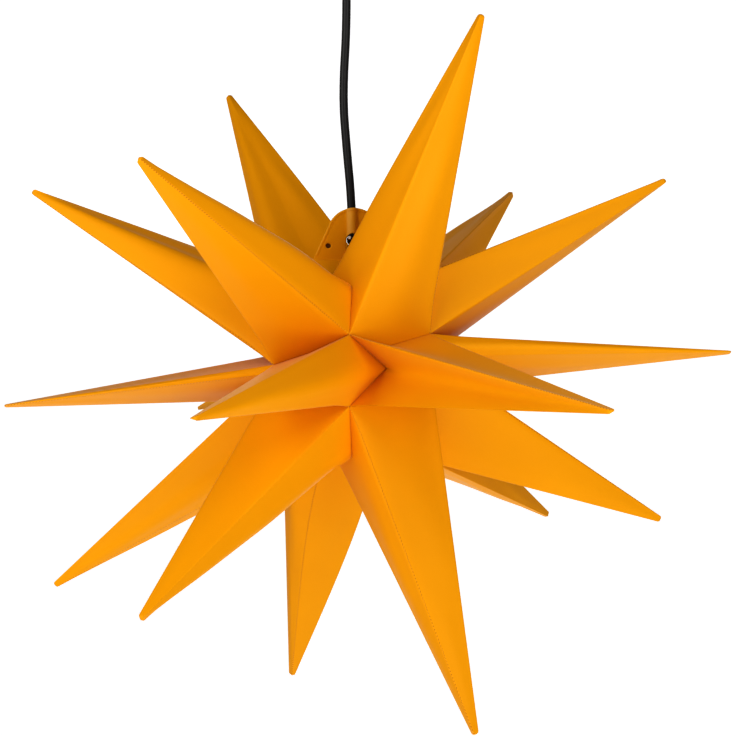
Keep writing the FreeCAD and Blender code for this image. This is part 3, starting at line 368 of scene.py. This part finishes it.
turned("holder_shell_moulding", [(1.93, 60, 0.2), (17, 60, 0.4), (17, 34, 1.5), (15, 30, 0.7),
                                 (11.03, 30, 0.4), (11.03, 35, 0.1), (7.55, 35, 0.1), (7.55, 56, 0.1),
                                 (1.93, 56, 0.1)],
       holder_black, "star", "holder_shell", LAMP, apart=0.001, round_steps=240,
       carve=grooves(0.017, 0.038, 0.056, 0.0005, ribs=30))
THREAD_PITCH = 0.00282
turned("contact_sleeve_thread", [(7.02, 55.2, 0.1), (7.52, 55.2, 0.2), (7.52, 35.2, 0.2), (7.02, 35.2, 0.1)],
       brass, "star", "contact_sleeve", LAMP, apart=0.0003,
       carve=grooves(0.00752, 0.036, 0.055, 0.0004, pitch=THREAD_PITCH))
turned("centre_contact_rivet", [(0, 61, 0), (1.9, 61, 0.5), (1.9, 56, 0.1), (4, 56, 0.2), (4, 55.2, 0.3),
                                (0, 55.2, 0)],
       brass, "star", "centre_contact", LAMP, apart=0.0007)
turned("seal_ring_moulding", [(9, 35, 0.9), (11, 35, 0.7), (11, 31, 0.7), (9, 31, 0.9)],
       seal_rubber, "star", "seal_ring", LAMP, apart=0.0006)


# Bulb
# A small lamp of its own: a threaded plated cap, a white moulded body, a bare aluminium board with a ring
# of chips, and an opal globe.
cap_nickel = metal("cap_nickel", (0.55, 0.52, 0.47), (0.78, 0.75, 0.70), rough=0.24)
housing_white = moulded("housing_white", (0.72, 0.71, 0.68), (0.82, 0.81, 0.79), gloss=0.3)
globe_opal = moulded("globe_opal", (0.80, 0.79, 0.76), (0.88, 0.87, 0.85), depth=0.000004, gloss=0.28)
paint(metal("board_aluminium", (0.50, 0.50, 0.50), (0.72, 0.72, 0.72)), "led_board")
turned("bulb_cap_thread", [(0, 55.1, 0), (2.4, 55.1, 0.8), (3.9, 53.6, 0.5), (6.95, 53.6, 1),
                           (6.95, 34.6, 0.2), (6.45, 34.6, 0.1), (6.45, 52.1, 0.5), (0, 52.1, 0)],
       cap_nickel, "bulb", "bulb_cap", LAMP, apart=0.0003,
       carve=grooves(0.00695, 0.0365, 0.052, 0.0007, pitch=THREAD_PITCH))
turned("bulb_housing_moulding", [(0, 42.6, 0), (6.4, 42.6, 0.4), (6.4, 34.6, 0.05), (8.7, 34.6, 0.8),
                                 (8.7, 26.6, 6), (17, 14.6, 3), (17, 12.1, 0.4), (15.8, 12.1, 0.2),
                                 (15.8, 14.6, 1), (7.5, 26.6, 4), (7.5, 33.4, 0.5), (0, 33.4, 0)],
       housing_white, "bulb", "bulb_housing", LAMP, apart=0.001, round_steps=120)
# down the outside of the globe from its neck to its foot, and back up the inside
half_round = np.radians(np.concatenate([np.linspace(40.9, -90, 60), np.linspace(-90, 43, 60)]))
globe_radius = np.repeat([22.5, 21.5], 60)
globe_middle = -2.69
globe_outline = np.stack([np.abs(globe_radius * np.cos(half_round)).round(6),
                          globe_middle + globe_radius * np.sin(half_round), 0.01 + 0 * half_round], axis=-1)
turned("bulb_globe_blown", globe_outline[::-1],
       globe_opal, "bulb", "bulb_globe", LAMP, apart=0.002, round_steps=120)


# Film spikes
# Eighteen hollow spikes in three rings of six stand on the folded hub. Each is two panels of orange film,
# half a millimetre thick, folded softly along the middle and sewn together along both edges.
# map values for the painted highlight beside the flex and for the painted shade at the rear ear's lace holes
UNHIGHLIGHTED_EAR, HIGHLIGHT_STEP, PAINTED_LACE_SHADE = -0.0095, 0.0005, -0.001
STAR_MIDDLE = (-0.0031, 0, -0.375)


def film_finish():
    """Orange film, dyed through, with a satin grain, needle holes in the seams and painted highlights on its
    edges.

    The map called seam gives each point's way in from the nearest edge, and its way along that edge. Past
    UNHIGHLIGHTED_EAR along, the film is painted pale, a painted highlight where the drape over the flex
    catches the light. Less than nothing in, it is painted near-black, as painted shade seen through a lace
    hole.
    """
    film = Finish("orange_film", {"IOR": 1.45, "Specular IOR Level": 0.14, "Sheen Weight": 0.15,
                                  "Sheen Roughness": 0.3})
    seam = film.node("ShaderNodeUVMap", {"uv_map": "seam"}, {})
    inward = film.node("ShaderNodeSeparateXYZ", {}, {"Vector": seam})
    along = Amount(film.tree, inward.socket.node.outputs["Y"])
    needle_spacing, needle_radius, edge_highlight_width = 0.0025, 0.00042, 0.0003
    beside = along.step("FRACT", along / needle_spacing) * needle_spacing - needle_spacing / 2
    reach = (beside ** 2.0 + inward ** 2.0) ** 0.5
    hole = (1.6 - reach / needle_radius).held()
    # painted highlight: a thin pale line along the seams and cut edges, where they catch the light
    cut = (1.0 - inward / edge_highlight_width).held()
    grain = film.blotches(0.0009, 3.0)
    cloud = film.blotches(0.05, 2.0)
    dyed = film.blend(cloud, (0.82, 0.348, 0.0010, 1), (0.87, 0.378, 0.0014, 1))
    # painted highlight: the ear's strip beside the flex turns pale
    painted_highlight = ((UNHIGHLIGHTED_EAR - along) / HIGHLIGHT_STEP).held()
    # both painted highlights, on the edges and beside the flex, blend the film towards pale yellow
    pale = film.blend(cut.step("MAXIMUM", cut * 0.3, painted_highlight * 0.6), dyed, (1.0, 0.60, 0.14, 1))
    # painted shade: near-black where the rear ear shows through the front ear's lace holes
    through = (inward / PAINTED_LACE_SHADE).held()
    pricked = film.blend(hole * 0.65, pale, (0.40, 0.07, 0.001, 1))
    colour = film.blend(through * 0.9, pricked, (0.06, 0.012, 0.001, 1))
    return film.dress(colour, 0.40 + grain * 0.08 + cloud * 0.06, grain * 0.000015 - hole * 0.00015)


def hung(points):
    """Points drawn round the star's own centre, leaned with it and brought to where it hangs."""
    x, y, z = np.moveaxis(points, -1, 0)
    return np.stack([STAR_MIDDLE[0] + x * math.cos(star_lean) + z * math.sin(star_lean), y,
                     STAR_MIDDLE[2] - x * math.sin(star_lean) + z * math.cos(star_lean)], axis=-1)


def ring_points(radius, bearings, heights):
    """Points of the star from their distance to its axis, their bearings in degrees and their heights."""
    turn = np.radians(bearings)
    return np.stack(np.broadcast_arrays(radius * np.sin(turn), -radius * np.cos(turn), heights), axis=-1)


# the hub: where its six corners, and the rings above and below them, lie
corner_bearings = -62.5 + 60 * np.arange(6)
ring_rise, ring_drop = 0.034, -0.021
high = ring_rise * np.array([0.30, 0.97, 1.00, 0.48, 1.02, 0.59])
low = ring_drop * np.array([-0.18, 1.0, -0.81, 0.43, 0.52, 0.86])
top, bottom = 0.0675, -0.054
pinch_bearings = corner_bearings + np.array([0, 27, -10, 0, 20, -10])
hub_radius, knee_radius, top_radius, bottom_radius = 0.069, 0.0585, 0.044, 0.0348
knee_turn, cap_turn, pinch_share = 1.5, -27.5, 0.53
pinch_radii = np.array([hub_radius, 0.060, hub_radius, hub_radius, hub_radius, hub_radius])
upper_knees = np.array([0.90, 1.02, 0.90, 0.90, 1.10, 0.90])
lower_knees = np.array([0.80, 1.14, 0.80, 0.80, 1.02, 0.80])
HUB = {"high": ring_points(hub_radius, corner_bearings, high),
       "low": ring_points(hub_radius, corner_bearings, low),
       "pinch": ring_points(pinch_radii, pinch_bearings, low + (high - low) * pinch_share),
       "knee": ring_points(knee_radius, corner_bearings + knee_turn, high + (top - high) * upper_knees),
       "low_knee": ring_points(knee_radius, corner_bearings + knee_turn, low + (bottom - low) * lower_knees),
       "top": ring_points(top_radius, corner_bearings + cap_turn, top),
       "bottom": ring_points(bottom_radius, corner_bearings + cap_turn, bottom)}
crease_sag = ring_rise * np.array([-0.06, -0.06, -0.26, -0.06, -0.06, -0.06])
# each ring of spikes: bearings and rises in degrees, and lengths as shares of a whole spike
SPIKES = {"upper": ((-90, -34, 40.6, 95.1, 148, -144.4), (30.1, 30.1, 61.5, 32.3, 31.9, 52.3),
                    (0.958, 0.994, 1.001, 0.965, 1.007, 0.995)),
          "middle": ((-87, -20.2, 35.4, 93.9, 154, -152.5), (-4.5, -4.8, -4.0, 3.9, 0.0, -5.3),
                     (0.897, 0.993, 0.999, 0.987, 1.000, 1.012)),
          "lower": ((-93, -34.7, 36, 101, 142.7, -160.8), (-34.6, -32.8, -59.6, -24.4, -23.5, -57.1),
                    (0.945, 1.002, 0.988, 0.906, 1.003, 0.993))}


def spike_foot(ring, number):
    """The eight points of a spike's foot on the hub, from its lower left corner round, seen from its tip."""
    left, right = (number + 5) % 6, number
    crease = (HUB["high"][left] + HUB["high"][right]) / 2 + (0, 0, crease_sag[number])
    middles = {"low": (HUB["low"][left] + HUB["low"][right]) / 2, "high": crease,
               "top": (HUB["top"][left] + HUB["top"][right]) / 2,
               "bottom": (HUB["bottom"][left] + HUB["bottom"][right]) / 2}
    below, side, above = {"upper": ("high", "knee", "top"), "middle": ("low", "pinch", "high"),
                          "lower": ("bottom", "low_knee", "low")}[ring]
    return np.array([HUB[below][left], middles[below], HUB[below][right], HUB[side][right],
                     HUB[above][right], middles[above], HUB[above][left], HUB[side][left]])


def spike_end(base, tip):
    """The eight points of a spike's blunt end, set out from its tip towards the foot's corners."""
    centre = base[0::2].mean(axis=0)
    axis = unit(tip - centre)
    sides = base[0::2] - centre
    corners = tip + unit(sides - np.outer(sides @ axis, axis)) * BLUNT_RADIUS
    return np.stack([corners, (corners + np.roll(corners, -1, axis=0)) / 2], axis=1).reshape(8, 3)


def rounded_shares(place, window, lines):
    """How much each of some edge lines counts at a place across a panel, averaged over a window there.

    Between two lines, each counts by how near the place is to it. The averages of that are parabolas.
    """
    def gathered(x):
        rise = np.clip(x[..., None] - np.arange(lines), -1, 1)
        return np.where(rise < 0, (1 + rise) ** 2 / 2, 1 - (1 - rise) ** 2 / 2)
    return (gathered(place + window) - gathered(place - window)) / (2 * window[..., None])


FILM = 0.0005
SPIKE_LENGTH, BLUNT_RADIUS, DOME_HEIGHT = 0.3, 0.003, 0.0022
FACE_SWELL, LONG_WAVE, SHORT_WAVE = (0.0004, 0.0020), 0.0005, 0.00022
LEFT_PANEL = (2, 1, 0, 7, 6)
RIGHT_PANEL = (2, 3, 4, 5, 6)

# how far single edges of some spikes bow, across, back and up, from their feet to their tips
BOWS = {("upper", 0): {3: (0, 0, -0.0025), 4: (0, 0, -0.0025)},
        ("upper", 1): {3: (0, 0, 0.0052), 4: (0, 0, 0.0042), 5: (-0.0008, 0, 0.0030), 6: (-0.0022, 0, 0.0018),
                       7: (-0.0010, 0, 0)},
        ("upper", 2): {5: (-0.0010, 0, 0), 6: (-0.0026, 0, 0), 7: (-0.0014, 0, 0)},
        ("upper", 5): {5: (0.0016, 0, 0.0012), 6: (0.0028, 0, 0.0021), 7: (0.0016, 0, 0.0012)},
        ("lower", 1): {2: (0, 0, -0.0010), 3: (0, 0, -0.0026)},
        ("lower", 3): {1: (0, 0, 0.0020), 2: (0, 0, 0.0025), 3: (0, 0, 0.0020)},
        ("lower", 5): {0: (0.0085, 0, 0), 1: (0.0010, -0.002, 0), 2: (-0.0085, -0.004, 0), 7: (0.0060, 0, 0)}}


def panel_points(base, tip, lines, waves, bows):
    """Half a spike, from one seam over the soft fold to the other, row by row from the hub to the tip.

    A row is the foot's edge points moved along straight lines to the tip and joined, with the corners
    averaged over a short window, which rounds the fold and the seams. Single edges may bow. Each face
    swells by a low sine bulge and a few slow waves. The last rows close over the tip as a small dome.
    """
    end = spike_end(base, tip)
    length = np.linalg.norm(end[list(lines)] - base[list(lines)], axis=-1).mean()
    t = eased(np.linspace(0, 1, 46))[:, None, None]
    edges = base * (1 - t) + end * t
    along = t[:, 0, 0]
    for number, bow in bows.items():
        edges[:, number] += np.sin(np.pi * along ** 0.6)[:, None] * bow

    # the panel's own edge lines, with one of its neighbour's past each seam
    own = edges[:, np.array([2 * lines[0] - lines[1], *lines, 2 * lines[-1] - lines[-2]]) % 8]

    # the places of the columns, closer together at the fold and the seams, and the window at each, which
    # opens over the first eighth of the length, so that the foot keeps its corners
    half = eased(np.linspace(0, 1, 17))
    place = np.concatenate([2 * half, 2 + 2 * half[1:]])[None]
    window = 0.10 + 0.04 * np.abs(place - 2) + 0.26 * np.sin(np.pi * place / 2) ** 2
    soft = rounded_shares(place + 1, window, own.shape[1])
    plain = rounded_shares(place + 1, np.full_like(place, 1e-4), own.shape[1])
    softness = eased(along / 0.12)[:, None, None]
    points = np.einsum("rcj,rjk->rck", plain * (1 - softness) + soft * softness, own)

    # the swell of the faces
    normal = np.cross(np.gradient(points, axis=0), np.gradient(points, axis=1))
    normal = normal / np.maximum(np.linalg.norm(normal, axis=-1, keepdims=True), 1e-12)
    centre = edges[:, 0::2].mean(axis=1)[:, None]
    normal = normal * np.sign((normal * (points - centre)).sum(axis=(0, 1, 2)))
    across = np.sin(np.pi * place / 2) ** 2
    hump = np.sin(np.pi * np.clip(along, 0, 1) ** 0.6)[:, None]
    swell = across * hump * np.where(place < 2, waves[0], waves[1])
    for cycles, phase, tall in waves[2]:
        wave = np.sin(2 * np.pi * (cycles * along[:, None] + 0.35 * place) + phase)
        swell = swell + tall * across * hump * wave
    points = points + normal * swell[..., None]

    # the dome over the tip
    axis = unit(tip - base[0::2].mean(axis=0))
    turn = np.radians([28, 52, 70, 82])[:, None, None]
    dome = tip + (points[-1] - tip) * np.cos(turn) + axis * DOME_HEIGHT * np.sin(turn)
    points = np.concatenate([points, dome])

    # the map: the way in from the nearer seam, and the way down from the tip
    step = np.linalg.norm(np.diff(points, axis=1), axis=-1)
    from_first = np.concatenate([np.zeros((len(points), 1)), np.cumsum(step, axis=1)], axis=1)
    inward = np.minimum(from_first, from_first[:, -1:] - from_first)
    down = np.concatenate([(1 - along) * length, -DOME_HEIGHT * np.sin(turn[:, 0, 0])])
    return points, np.stack([inward, np.broadcast_to(down[:, None], inward.shape)], axis=-1)


def film_piece(name, points, cells, seam, body, node):
    """One sheet of the film, with its thickness, that rides on a body in place of a solid."""
    piece = shell(name, hung(points), cells, film, seam)
    wall = piece.modifiers.new("film", "SOLIDIFY")
    wall.thickness = FILM
    wall.offset = -1
    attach(piece, body)
    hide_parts(node)


film = film_finish()
chance = np.random.default_rng(18)
for ring, (bearings, rises, shares) in SPIKES.items():
    for number in range(6):
        rise = math.radians(rises[number])
        reach = SPIKE_LENGTH * shares[number]
        tip = ring_points(reach * math.cos(rise), bearings[number], reach * math.sin(rise))
        base = spike_foot(ring, number)
        for side, lines in (("left", LEFT_PANEL), ("right", RIGHT_PANEL)):
            # the swell of each face, and two slow waves by their cycles, phases and heights
            waves = (chance.uniform(*FACE_SWELL), chance.uniform(*FACE_SWELL),
                     [(chance.uniform(0.8, 1.6), chance.uniform(0, 6.28), LONG_WAVE),
                      (chance.uniform(2.0, 3.2), chance.uniform(0, 6.28), SHORT_WAVE)])
            points, seam = panel_points(base, tip, lines, waves, BOWS.get((ring, number), {}))
            name = f"{ring}_spike_{number + 1}_{side}"
            film_piece(name + "_film", points.reshape(-1, 3), grid_cells(*seam.shape[:2], side == "right"),
                       seam.reshape(-1, 2), "star", name + "_panel")


# Bottom panel
# A flat piece of the same film closes the bottom of the hub. It is sewn in along its six edges and has a
# drain hole in the middle.
panel_corner, panel_lift, drain_radius = 0.0341, 0.0008, 0.004
turn = np.radians(np.arange(0, 361, 3))
edge = panel_corner * math.cos(math.pi / 6) / np.cos(turn % (math.pi / 3) - math.pi / 6)
share = np.linspace(0, 1, 18)[:, None]
radius = drain_radius + (edge - drain_radius) * share
height = bottom + panel_lift * np.cos(share * math.pi / 2) + 0 * radius
disc_points = ring_points(radius, np.degrees(turn) - 90, height)

# its map: needle holes and a painted highlight along the six edges, and neither round the drain hole
plain_rim, mean_edge = 0.0034, 0.0325
from_cuts = np.minimum(edge - radius, radius - plain_rim)
disc_seam = np.stack(np.broadcast_arrays(from_cuts, mean_edge * turn), axis=-1)
film_piece("bottom_panel_film", disc_points.reshape(-1, 3), grid_cells(*radius.shape, False),
           disc_seam.reshape(-1, 2), "star", "bottom_panel")


# Closing flaps
# Two pieces of the same film close the top. Each slants up from the top ring to a ridge and stands on
# there as a round ear, draped over the flex, with a slot for the stop. The front ear has two small punched
# lace holes, and the rear one has painted shade in their places.
def loop_of(*runs):
    """One closed outline of points across and up, from runs of points, and its edges."""
    points = np.concatenate(runs)
    number = np.arange(len(points))
    return points, np.stack([number, np.roll(number, -1)], axis=-1)


def inside(points, loop):
    """Which points lie inside a closed outline, by how often a line from each crosses it."""
    x, y = points[:, :1], points[:, 1:]
    there = np.roll(loop, -1, axis=0)
    spans = (loop[:, 1] > y) != (there[:, 1] > y)
    rise = np.where(there[:, 1] == loop[:, 1], 1, there[:, 1] - loop[:, 1])
    crossing = loop[:, 0] + (there[:, 0] - loop[:, 0]) * (y - loop[:, 1]) / rise
    return (spans & (x < crossing)).sum(axis=1) % 2 == 1


def flex_place(up, aside=0):
    """Where something beside the flex lies across the ears. The flex hangs plumb through the leaning star."""
    return aside + 0.0022 - 0.0297 * up


def draped(across, up):
    """How far the film stands out in front of the middle plane: flat, but drawn half round the flex."""
    off = np.abs(across - flex_place(up))
    return np.maximum(FLAT_GAP, np.sqrt(np.maximum(DRAPE_RADIUS ** 2 - off ** 2, 0)))


def away(points, loop):
    """How far points in the flat lie from the nearest point of an outline."""
    return np.linalg.norm(points[:, None] - loop[None], axis=-1).min(axis=1)


RIDGE, EAR_MIDDLE, EAR_RADIUS, EAR_FOOT = 0.092, 0.1113, 0.0212, 0.032
STOP_HOLE, STOP_UP, SLOT_DROP = 0.0049, 0.1075, 0.006
LACE_HOLE, LACE_ASIDE, LACE_UP = 0.002, 0.020, 0.103
FLAT_GAP, LEAST_GAP, DRAPE_RADIUS = 0.00075, 0.0003, 0.0043
ROLL_HEIGHT, DIMPLE_DEPTH = 0.00055, 0.00025
FOOT_POINTS, SKIRT_ROWS = 97, 40

# the rim of an ear: its foot on the ridge, two straight sides and the round top that they touch
ear_drop = EAR_MIDDLE - RIDGE
ear_lean = math.atan2(ear_drop, EAR_FOOT) - math.acos(EAR_RADIUS / math.hypot(EAR_FOOT, ear_drop))
touching = np.array([EAR_RADIUS * math.cos(ear_lean), EAR_MIDDLE - EAR_RADIUS * math.sin(ear_lean)])
foot_across, foot_up = np.linspace(-EAR_FOOT, EAR_FOOT, FOOT_POINTS), np.full(FOOT_POINTS, RIDGE)
foot_row = np.stack([foot_across, foot_up], axis=-1)
side_share = np.linspace(0, 1, 34)[1:, None]
right_side = foot_row[-1] + (touching - foot_row[-1]) * side_share
round_turn = np.linspace(-ear_lean, math.pi + ear_lean, 76)[1:-1]
round_top = np.stack([EAR_RADIUS * np.cos(round_turn), EAR_MIDDLE + EAR_RADIUS * np.sin(round_turn)], axis=-1)
left_side = right_side[::-1] * (-1, 1)
rim, rim_edges = loop_of(foot_row, right_side, round_top, left_side)

# the slot for the stop, round at both ends, and the two lace holes
arc = np.linspace(0, math.pi, 25)
stop_x = flex_place(STOP_UP)
slot_top = np.stack([stop_x + STOP_HOLE * np.cos(arc), STOP_UP + STOP_HOLE * np.sin(arc)], axis=-1)
slot_foot = np.stack([stop_x - STOP_HOLE * np.cos(arc),
                      STOP_UP - SLOT_DROP - STOP_HOLE * np.sin(arc)], axis=-1)
slot_loop = loop_of(slot_top, slot_foot)
circle = np.linspace(0, 2 * math.pi, 29)[:-1]
lace_loops = [loop_of(np.stack([side * LACE_ASIDE + LACE_HOLE * np.cos(circle),
                                LACE_UP + LACE_HOLE * np.sin(circle)], axis=-1)) for side in (-1, 1)]


def ear_sheet(holes):
    """The ear laid flat: its points, its three-cornered faces, and each point's way from rim and holes.

    The outline and the holes are joined to an even net of points, with closer rings inside the rim. The net
    is sheared, so that its columns run along the flex. Faces outside the rim or in a hole are dropped.
    """
    loops = [(rim, rim_edges), *holes]
    starts = np.cumsum([0] + [len(points) for points, _ in loops])
    borders = np.concatenate([points for points, _ in loops])
    border_edges = np.concatenate([edges + start for (_, edges), start in zip(loops, starts)])
    run = np.roll(rim, -1, axis=0) - np.roll(rim, 1, axis=0)
    inward = unit(np.stack([-run[:, 1], run[:, 0]], axis=-1))
    rings = np.concatenate([rim + inward * step for step in (0.0004, 0.0008, 0.0012, 0.0017, 0.0022)])
    columns, rows = np.meshgrid(foot_across, np.linspace(RIDGE, EAR_MIDDLE + EAR_RADIUS, 62)[1:-1])
    net = np.stack([flex_place(rows, columns).ravel(), rows.ravel()], axis=-1)
    net = np.concatenate([net[away(net, rim) > 0.0025], rings[away(rings, rim) > 0.00035]])
    free = inside(net, rim) & (away(net, borders) > 0.0003)
    for hole, _ in holes:
        free &= ~inside(net, hole)
    spots = [Vector(point) for point in np.concatenate([borders, net[free]]).tolist()]
    points, _, faces, *_ = delaunay_2d_cdt(spots, border_edges.tolist(), [], 0, 1e-7)
    points, faces = np.array([point[:] for point in points]), np.array(faces)
    middles = points[faces].mean(axis=1)
    kept = inside(middles, rim)
    for hole, _ in holes:
        kept &= ~inside(middles, hole)
    return points, faces[kept], away(points, rim), away(points, np.concatenate([hole for hole, _ in holes]))


def standing_ear(flat_points, from_rim, from_hole, facing):
    """The ear stood up, with its map: draped over the flex, rolled up inside its rim, dimpled at its holes.

    The map paints highlights on the cut edges and beside the flex, and shade where the rear ear's lace holes
    would be.
    """
    across, up = flat_points.T
    fold_top, roll_start, roll_end, roll_run, dimple_width = 0.0035, 0.0010, 0.0026, 0.0012, 0.0009
    beyond = up > RIDGE + fold_top
    roll = ROLL_HEIGHT * eased(from_rim / roll_start) * eased((roll_end - from_rim) / roll_run) * beyond
    dimple = DIMPLE_DEPTH * eased(1 - from_hole / dimple_width)
    out = np.maximum(draped(across, up) + roll - dimple, LEAST_GAP)
    ear = np.stack([across, facing * out, up], axis=-1)

    # the way in from the cut edges places both the needle holes and the painted edge highlight
    cut_spread, foot_end, uncut = 0.3, 0.0305, 0.003
    highlight_width, highlight_start, highlight_run, highlight_foot = 0.0042, 0.0003, 0.0080, 0.109
    from_cut = np.where(beyond | (np.abs(across) > foot_end), from_rim * cut_spread, uncut)
    inward = np.minimum(from_cut, from_hole)
    if facing > 0:
        # painted shade: the rear ear has no lace holes, and is painted near-black where the front ear's holes
        # show it
        inward[np.hypot(np.abs(across) - LACE_ASIDE, up - LACE_UP) < LACE_HOLE + 0.0003] = PAINTED_LACE_SHADE
    # painted highlight: a pale strip down the drape over the flex, sharp at its left side and fading to the
    # right, as where the light falls on it
    off = across - flex_place(up)
    highlight_share = eased((off + highlight_width) / highlight_start) * eased((highlight_width - off) / highlight_run) * (up > highlight_foot)
    return ear, np.stack([inward, UNHIGHLIGHTED_EAR - HIGHLIGHT_STEP * highlight_share], axis=-1)


def slanting_part(facing):
    """The part below the ridge, with its map: straight lines from three edges of the ring up to the ridge.

    The folds between the three are averaged over a short window. The lines start a little above the ring,
    and over their last two thirds the film swells out to meet the drape of the ear.
    """
    ring_depth, ring_gap, fold_window, along_start = 0.0381, 0.00035, 0.14, 0.04
    corners = ((-top_radius, 0), (-top_radius / 2, ring_depth), (top_radius / 2, ring_depth), (top_radius, 0))
    low_edge = np.array([(across, facing * back, top) for across, back in corners])
    place = np.interp(foot_across, EAR_FOOT * np.array([-1, -0.6, 0.6, 1]), (0, 1, 2, 3))[None]
    window = np.minimum(fold_window, np.minimum(place, 3 - place) + 1e-4)
    low_row = rounded_shares(place, window, len(corners))[0] @ low_edge
    high_row = np.stack([foot_across, facing * draped(foot_across, foot_up), foot_up], axis=-1)
    flat_row = np.stack([foot_across, np.full(FOOT_POINTS, facing * FLAT_GAP), foot_up], axis=-1)
    rise = np.linspace(0, 1, SKIRT_ROWS)[:, None, None]
    skirt = (low_row + ring_gap * unit(flat_row - low_row)) * (1 - rise) + flat_row * rise
    skirt = skirt + (high_row - flat_row) * eased(rise * 1.6 - 0.6)
    skirt[:, :, 1] = facing * np.maximum(facing * skirt[:, :, 1], FLAT_GAP)

    from_ring = np.linalg.norm(skirt - skirt[:1], axis=-1)
    from_left = np.linalg.norm(skirt - skirt[:, :1], axis=-1)
    from_right = np.linalg.norm(skirt - skirt[:, -1:], axis=-1)
    inward = np.minimum(from_ring, np.minimum(from_left, from_right))
    return skirt, np.stack(np.broadcast_arrays(inward, foot_across[None] + along_start), axis=-1)


for name, facing, holes in (("front", -1, [slot_loop, *lace_loops]), ("rear", 1, [slot_loop])):
    flat_points, triangles, from_rim, from_hole = ear_sheet(holes)
    ear, ear_seam = standing_ear(flat_points, from_rim, from_hole, facing)
    skirt, skirt_seam = slanting_part(facing)
    sheets = triangles.tolist() + (grid_cells(SKIRT_ROWS, FOOT_POINTS) + len(ear)).tolist()
    if facing > 0:
        sheets = [face[::-1] for face in sheets]
    film_piece(name + "_flap_film", np.concatenate([ear, skirt.reshape(-1, 3)]), sheets,
               np.concatenate([ear_seam, skirt_seam.reshape(-1, 2)]), name + "_closure", name + "_flap")


# Room
# A pale floor curves up behind the star, and its middle glows, so that it is white in the picture. A faint
# sky and four soft lamps, two beside the star and two above, light the film.
def backdrop():
    """A sweep: level below the star, then a quarter circle up to an upright wall behind it."""
    near_edge, bend_start, bend_radius, half_width = -4.0, 2.6, 1.2, 5
    floor_height, wall_top = -1.15, 4.0
    turn = np.linspace(0, math.pi / 2, 24)
    x = np.linspace(-half_width, half_width, 3)
    y = np.concatenate([[near_edge], bend_start + bend_radius * np.sin(turn), [bend_start + bend_radius]])
    z = np.concatenate([[floor_height], floor_height + bend_radius * (1 - np.cos(turn)), [wall_top]])
    return np.stack(np.broadcast_arrays(x, y[:, None], z[:, None]), axis=-1)


pale = Finish("pale_floor", {"Roughness": 0.9, "Specular IOR Level": 0.1, "Emission Strength": 0.5})
# the glow fills a square round the star, seen from the front, and fades at its edges
glow_drop, glow_reach, glow_fade = 0.38, 1.15, 0.125
aside = pale.node("ShaderNodeSeparateXYZ", {}, {"Vector": pale.place()})
upright = Amount(pale.tree, aside.socket.node.outputs["Z"])
far = aside.step("MAXIMUM", aside.step("ABSOLUTE", aside), upright.step("ABSOLUTE", upright + glow_drop))
lit = pale.blend(((glow_reach - far) / glow_fade).held(), (0.35, 0.35, 0.35, 1), (1, 1, 1, 1))
pale.tree.links.new(lit.socket, pale.surface.inputs["Emission Color"])
floor_white = pale.dress(pale.blend(pale.blotches(0.4), (0.90, 0.90, 0.90, 1), (0.93, 0.93, 0.93, 1)))
sweep_points = backdrop()
sweep = shell("floor", sweep_points.reshape(-1, 3), grid_cells(*sweep_points.shape[:2]), floor_white)

world = bpy.data.worlds.new("sky")
world.use_nodes = True
world.node_tree.nodes["Background"].inputs["Color"].default_value = (1, 1, 1, 1)
world.node_tree.nodes["Background"].inputs["Strength"].default_value = 0.11
bpy.context.scene.world = world
bpy.context.scene.view_settings.view_transform = "Standard"
bpy.context.scene.view_settings.look = "High Contrast"

LAMP_SIZE, LAMP_DISTANCE = 0.42, 0.88
star_height = Vector((0, 0, STAR_MIDDLE[2]))
for name, bearing, rise, power in (("left", -40, -6, 1.55), ("right", 28, -8, 1.85),
                                   ("top left", -46, 32, 1.6), ("top right", 30, 34, 1.3)):
    lamp = bpy.data.lights.new(name, "AREA")
    lamp.size = LAMP_SIZE
    lamp.energy = power
    holder = bpy.data.objects.new(name, lamp)
    rise = math.radians(rise)
    way = Vector(ring_points(math.cos(rise), bearing, math.sin(rise)).tolist())
    lamp_turn = way.to_track_quat("Z", "Y").to_matrix().to_4x4()
    holder.matrix_world = Matrix.Translation(star_height + way * LAMP_DISTANCE) @ lamp_turn
    bpy.context.scene.collection.objects.link(holder)
